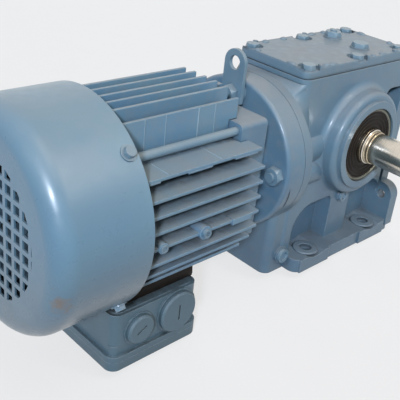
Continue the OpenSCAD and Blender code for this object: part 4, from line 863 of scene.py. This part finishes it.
@dataclass
class Motor(Assembly):
    """Finned housing, end shields, rods and the lifting eye."""

    title: str = "motor"
    coats: dict[str, Finish] = coated(
        stator_housing=HOUSING, stator_core=CORE, stator_windings=COPPER, front_end_shield=FLANGE,
        rear_end_shield=SHADED_SHIELD, motor_oil_seal=RUBBER, rotor_bearing_outers=MOTOR_BEARING,
        tie_rods=FASTENER, tie_rod_nuts=FASTENER, flange_studs=FASTENER, flange_nuts=FASTENER,
        lifting_eye=FASTENER, earth_screw=FASTENER)
    # Slot on the flange's rim: place along the motor and angle below its axis, at both ends.
    slot_from: Pair = (-141.0, 8.4)
    slot_to: Pair = (-137.0, 28.8)
    flange_r: float = 79.3
    slot_floor: Profile = ((-1.25, 0.03), (1.25, 0.03))
    slot_lip: Profile = ((-2.1, -0.1), (-1.7, 0.35), (-1.2, 0.3), (-1.2, -0.1))
    # Witness lines of the mould on the big corner fin: place and half width.
    panel_y: float = -45.05
    witness: tuple[Pair, ...] = ((-302.0, 0.35), (-280.0, 0.35), (-243.3, 0.6), (-223.7, 0.35))
    witness_span: Pair = (52.5, 80.4)
    # Ridges on top of the highest side fin, and the thicker stretches under its edge.
    side_fin_z: float = 183.84
    ridges_x: tuple[float, ...] = (-302.5, -244.0)
    ridge_half: float = 0.4
    ridge_y: Pair = (-78.5, -53.0)
    pads_x: tuple[Pair, ...] = ((-323.2, -311.7), (-282.5, -255.4), (-228.3, -200.0))
    pad_y: Pair = (-80.6, -74.0)
    pad_taper: float = 1.5

    def build(self) -> None:
        """Makes the slot in the flange and the casting marks on the corner fins."""
        self.flange_slot()
        self.fin_marks()

    def flange_slot(self) -> None:
        """Lays the narrow slot with its raised lips on the rim of the motor flange; its shallow floor is
        painted nearly black as painted shade.
        """
        floor, lips = bmesh.new(), bmesh.new()
        steps = 20
        far_lip = tuple((-w, h) for w, h in reversed(self.slot_lip))
        for mesh, section in ((floor, self.slot_floor), (lips, self.slot_lip), (lips, far_lip)):
            rows = []
            for i in range(steps + 1):
                t = i / steps
                x, angle = (a + (b - a) * t for a, b in zip(self.slot_from, self.slot_to))
                a = math.radians(angle)
                narrow = min(1.0, 0.25 + 4 * min(t, 1 - t))
                rows.append([mesh.verts.new(((x + w * narrow) * MM, -(self.flange_r + h) * MM * math.cos(a),
                                             MOTOR_Z - (self.flange_r + h) * MM * math.sin(a)))
                             for w, h in section])
            self.skin(mesh, rows, ring=False)
        # The shallow slot floor is painted nearly black: painted shade.
        self.add("flange_slot_floor", floor, SHADED_SLOT_FLOOR, 60)
        self.add("flange_slot_lips", lips, FLANGE, 60)

    def fin_marks(self) -> None:
        """Raises the mould's ridges on two fins and the thickened stretches of the highest side fin."""
        ridges, pads = bmesh.new(), bmesh.new()
        wall = facing(TO_FRONT, (0, self.panel_y * MM, MOTOR_Z))
        for x, half in self.witness:
            self.slab(ridges, strip(x - half, x + half, *self.witness_span), -0.6, 0.35, wall, 0.2)
        level = facing(UP, (0, 0, self.side_fin_z * MM))
        for x in self.ridges_x:
            outline = strip(x - self.ridge_half, x + self.ridge_half, *self.ridge_y)
            self.slab(ridges, outline, 0.8, 1.9, level, 0.2)
        for start, end in self.pads_x:
            self.slab(pads, strip(start, end, *self.pad_y, self.pad_taper), -2.6, -1.2, level, 0.5)
        # The ridges are painted pale: painted highlight.
        self.add("fin_mould_ridges", ridges, RIDGE)
        self.add("fin_casting_marks", pads, HOUSING)


@dataclass
class FanCover(Assembly):
    """Drawn steel cover over the fan."""

    title: str = "fan cover"
    coats: dict[str, Finish] = coated(fan_cover=COVER, fan_cover_screws=FASTENER)


@dataclass
class TerminalBox(Assembly):
    """Box under the motor with its lid, plugs and inner block."""

    title: str = "terminal box"
    coats: dict[str, Finish] = coated(
        terminal_box=BOX, box_gasket=GASKET, terminal_lid=BOX, lid_screws=BOX, large_blanking_plug=BOX,
        small_blanking_plug=BOX, terminal_block=RESIN, terminal_studs=BRASS)
    neck_x: Pair = (-326.6, -234.8)
    neck_half: float = 48.0
    # Section of the seal round the neck: how far out, and how high.
    neck_section: Profile = ((0.2, 47.6), (1.6, 47.6), (2.0, 50.6), (1.4, 57.5), (0.6, 58.5), (0.2, 58.5))

    def build(self) -> None:
        """Makes the dark rubber seal that fills the step between the motor's pad and the box; its black also
        stands for the shade under the motor: painted shade.
        """
        (x0, x1), half = self.neck_x, self.neck_half
        mesh = bmesh.new()
        rows = []
        steps = 4
        for out, z in self.neck_section:
            row = []
            for cx, cy, start in ((x1, half, 0), (x0, half, 90), (x0, -half, 180), (x1, -half, 270)):
                for i in range(steps + 1):
                    a = math.radians(start + 90 * i / steps)
                    row.append(mesh.verts.new(((cx + out * math.cos(a)) * MM, (cy + out * math.sin(a)) * MM,
                                               z * MM)))
            rows.append(row)
        self.skin(mesh, rows + rows[:1])
        # The seal's black also paints the shade under the motor.
        self.add("box_neck_seal_and_shade", mesh, RUBBER)


class LampKind(Enum):
    """What throws the light."""

    SUN = "SUN"
    AREA = "AREA"


@dataclass(frozen=True)
class Lamp:
    """One lamp, with its place, colour, power and size."""

    name: str
    source: Point
    tint: str
    power: float
    kind: LampKind = LampKind.AREA
    sun_angle: float = 0.0
    distance: float = 1.7
    width: float = 1.0
    length: float = 1.0
    spin: float = 0.0
    mirrored: bool = True


@dataclass
class Studio:
    """Pale bench top, soft light and the camera of the photograph."""

    backdrop: str = "#f3f3f3"
    bench: str = "#ededed"
    bench_grain: str = "#f4f4f4"
    bounce: str = "#3c3c3c"
    dome: str = "#e6eef8"
    dome_power: float = 0.18
    target: Point = (-0.15, 0.0, 0.12)
    bench_reach: float = 9.0
    bench_gap: float = 0.0002
    lid_edge: Pair = (-0.2318, -0.0152)
    foot_edge: Pair = (0.100, 0.0)
    camera_at: Point = (-0.6424, -0.4476, 0.4322)
    right: Point = (0.704224, -0.700006, 0.118574)
    up: Point = (0.227102, 0.380334, 0.896533)
    focal_px: float = 708.5
    centre_px: Pair = (230.0, 170.0)
    frame_px: float = 400.0
    sensor_mm: float = 36.0
    # The lamp on the far side only fills the shade, so nothing mirrors it.
    lamps: tuple[Lamp, ...] = (
        Lamp("over_camera", (-0.71, -0.54, 0.50), "#e4eeff", 2.65, kind=LampKind.SUN, sun_angle=7.0),
        Lamp("overhead", (-0.10, -0.30, 0.95), "#fff1de", 5.0, width=0.7, length=1.2),
        Lamp("far_side", (0.50, 0.82, 0.24), "#f4f6fa", 46.0, distance=3.4, width=2.4, length=2.4,
             mirrored=False),
        Lamp("strip", (0.309, -0.565, 0.765), "#fff6ea", 6.5, width=0.12, length=1.2, spin=-22.7))

    def lay_bench(self) -> None:
        """Lays the bench under the two edges that the motor stands on."""
        (x0, z0), (x1, z1) = self.lid_edge, self.foot_edge
        slope = (z1 - z0) / (x1 - x0)
        mesh = bmesh.new()
        bmesh.ops.create_grid(mesh, x_segments=24, y_segments=24, size=self.bench_reach)
        for vert in mesh.verts:
            vert.co.z = z0 + slope * (vert.co.x - x0) - self.bench_gap
        data = bpy.data.meshes.new("bench_top")
        mesh.to_mesh(data)
        mesh.free()
        data.materials.append(self.laminate())
        put("bench_top", data)

    def laminate(self) -> bpy.types.Material:
        """Makes the bench's matt laminate: even and nearly white, with a grain too faint to draw the eye.

        Returns:
            The material.
        """
        coat = bpy.data.materials.new("matt_white_laminate")
        coat.use_nodes = True
        tree = coat.node_tree
        tree.nodes.clear()
        grain = add_node(tree, "TexNoise", {"Scale": 400.0, "Detail": 2.0}).outputs[0]
        tone = add_node(tree, "Mix", {0: grain, 6: linear(self.bench), 7: linear(self.bench_grain)},
                        data_type="RGBA").outputs[2]
        lit = add_node(tree, "BsdfDiffuse", {"Color": tone}).outputs[0]
        glow = add_node(tree, "Emission", {"Color": linear(self.backdrop)}).outputs[0]
        # A quarter of the light on the bench shows, enough for a soft shadow on an even ground.
        seen = add_node(tree, "MixShader", {0: 0.75, 1: lit, 2: glow}).outputs[0]
        # The bench throws less light up on the motor than its pale face would, as the dark room does.
        unseen = add_node(tree, "BsdfDiffuse", {"Color": linear(self.bounce)}).outputs[0]
        mixed = add_node(tree, "MixShader", {0: self.seen_share(tree), 1: unseen, 2: seen})
        add_node(tree, "OutputMaterial", {0: mixed.outputs[0]})
        return coat

    def seen_share(self, tree: Tree) -> Socket:
        """Tells the rays that look at the backdrop from those that gather light.

        Args:
            tree: node tree of the world or the bench.

        Returns:
            One for camera, glossy and transmission rays, zero for the others.
        """
        path = add_node(tree, "LightPath").outputs
        seen = path["Is Camera Ray"]
        for kind in ("Is Glossy Ray", "Is Transmission Ray"):
            seen = add_node(tree, "Math", {0: seen, 1: path[kind]}, operation="MAXIMUM").outputs[0]
        return seen

    def hang_lights(self) -> None:
        """Sets a soft dome with a plain backdrop, then hangs the lamps."""
        world = bpy.context.scene.world or bpy.data.worlds.new("studio")
        bpy.context.scene.world = world
        world.use_nodes = True
        tree = world.node_tree
        tree.nodes.clear()
        seen = self.seen_share(tree)
        dome = add_node(tree, "Background", {"Color": linear(self.dome), "Strength": self.dome_power})
        plain = add_node(tree, "Background", {"Color": linear(self.backdrop)})
        mixed = add_node(tree, "MixShader", {0: seen, 1: dome.outputs[0], 2: plain.outputs[0]})
        add_node(tree, "OutputWorld", {0: mixed.outputs[0]})
        for lamp in self.lamps:
            self.hang(lamp)

    def hang(self, lamp: Lamp) -> None:
        """Hangs one lamp so that it shines at the middle of the motor.

        Args:
            lamp: the lamp.
        """
        light = bpy.data.lights.new(lamp.name, lamp.kind.value)
        light.energy = lamp.power
        light.color = linear(lamp.tint)[:3]
        if lamp.kind is LampKind.SUN:
            light.angle = math.radians(lamp.sun_angle)
        else:
            light.shape = "RECTANGLE"
            light.size, light.size_y = lamp.width, lamp.length
        holder = put(lamp.name, light)
        holder.visible_glossy = lamp.mirrored
        at = Vector(self.target) + Vector(lamp.source).normalized() * lamp.distance
        holder.matrix_world = facing(lamp.source, tuple(at), lamp.spin)

    def place_camera(self) -> None:
        """Puts the camera where the photograph was taken from."""
        data = bpy.data.cameras.new("camera")
        data.sensor_fit = "HORIZONTAL"
        data.sensor_width = self.sensor_mm
        data.lens = self.focal_px / self.frame_px * self.sensor_mm
        data.shift_x = 0.5 - self.centre_px[0] / self.frame_px
        data.shift_y = self.centre_px[1] / self.frame_px - 0.5
        data.clip_start, data.clip_end = 0.01, 50.0
        camera = put("camera", data)
        right, up = Vector(self.right), Vector(self.up)
        turned = Matrix((right, up, right.cross(up))).transposed().to_4x4()
        camera.matrix_world = Matrix.Translation(Vector(self.camera_at)) @ turned
        bpy.context.scene.camera = camera
        bpy.context.scene.view_settings.view_transform = "Standard"


def main() -> None:
    """Builds every group in order."""
    logging.basicConfig(level=logging.INFO, format="%(name)s: %(message)s")
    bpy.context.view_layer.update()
    studio = Studio()
    studio.place_camera()
    studio.lay_bench()
    studio.hang_lights()
    for group in (GearCase(), OutputGroup(), WormGroup(), RotorGroup(), Motor(), FanCover(), TerminalBox()):
        group.dress()
        group.build()
        log.info("%s: %d nodes dressed, %d pieces made", group.title, len(group.coats), len(group.made))


if __name__ == "__main__":
    main()
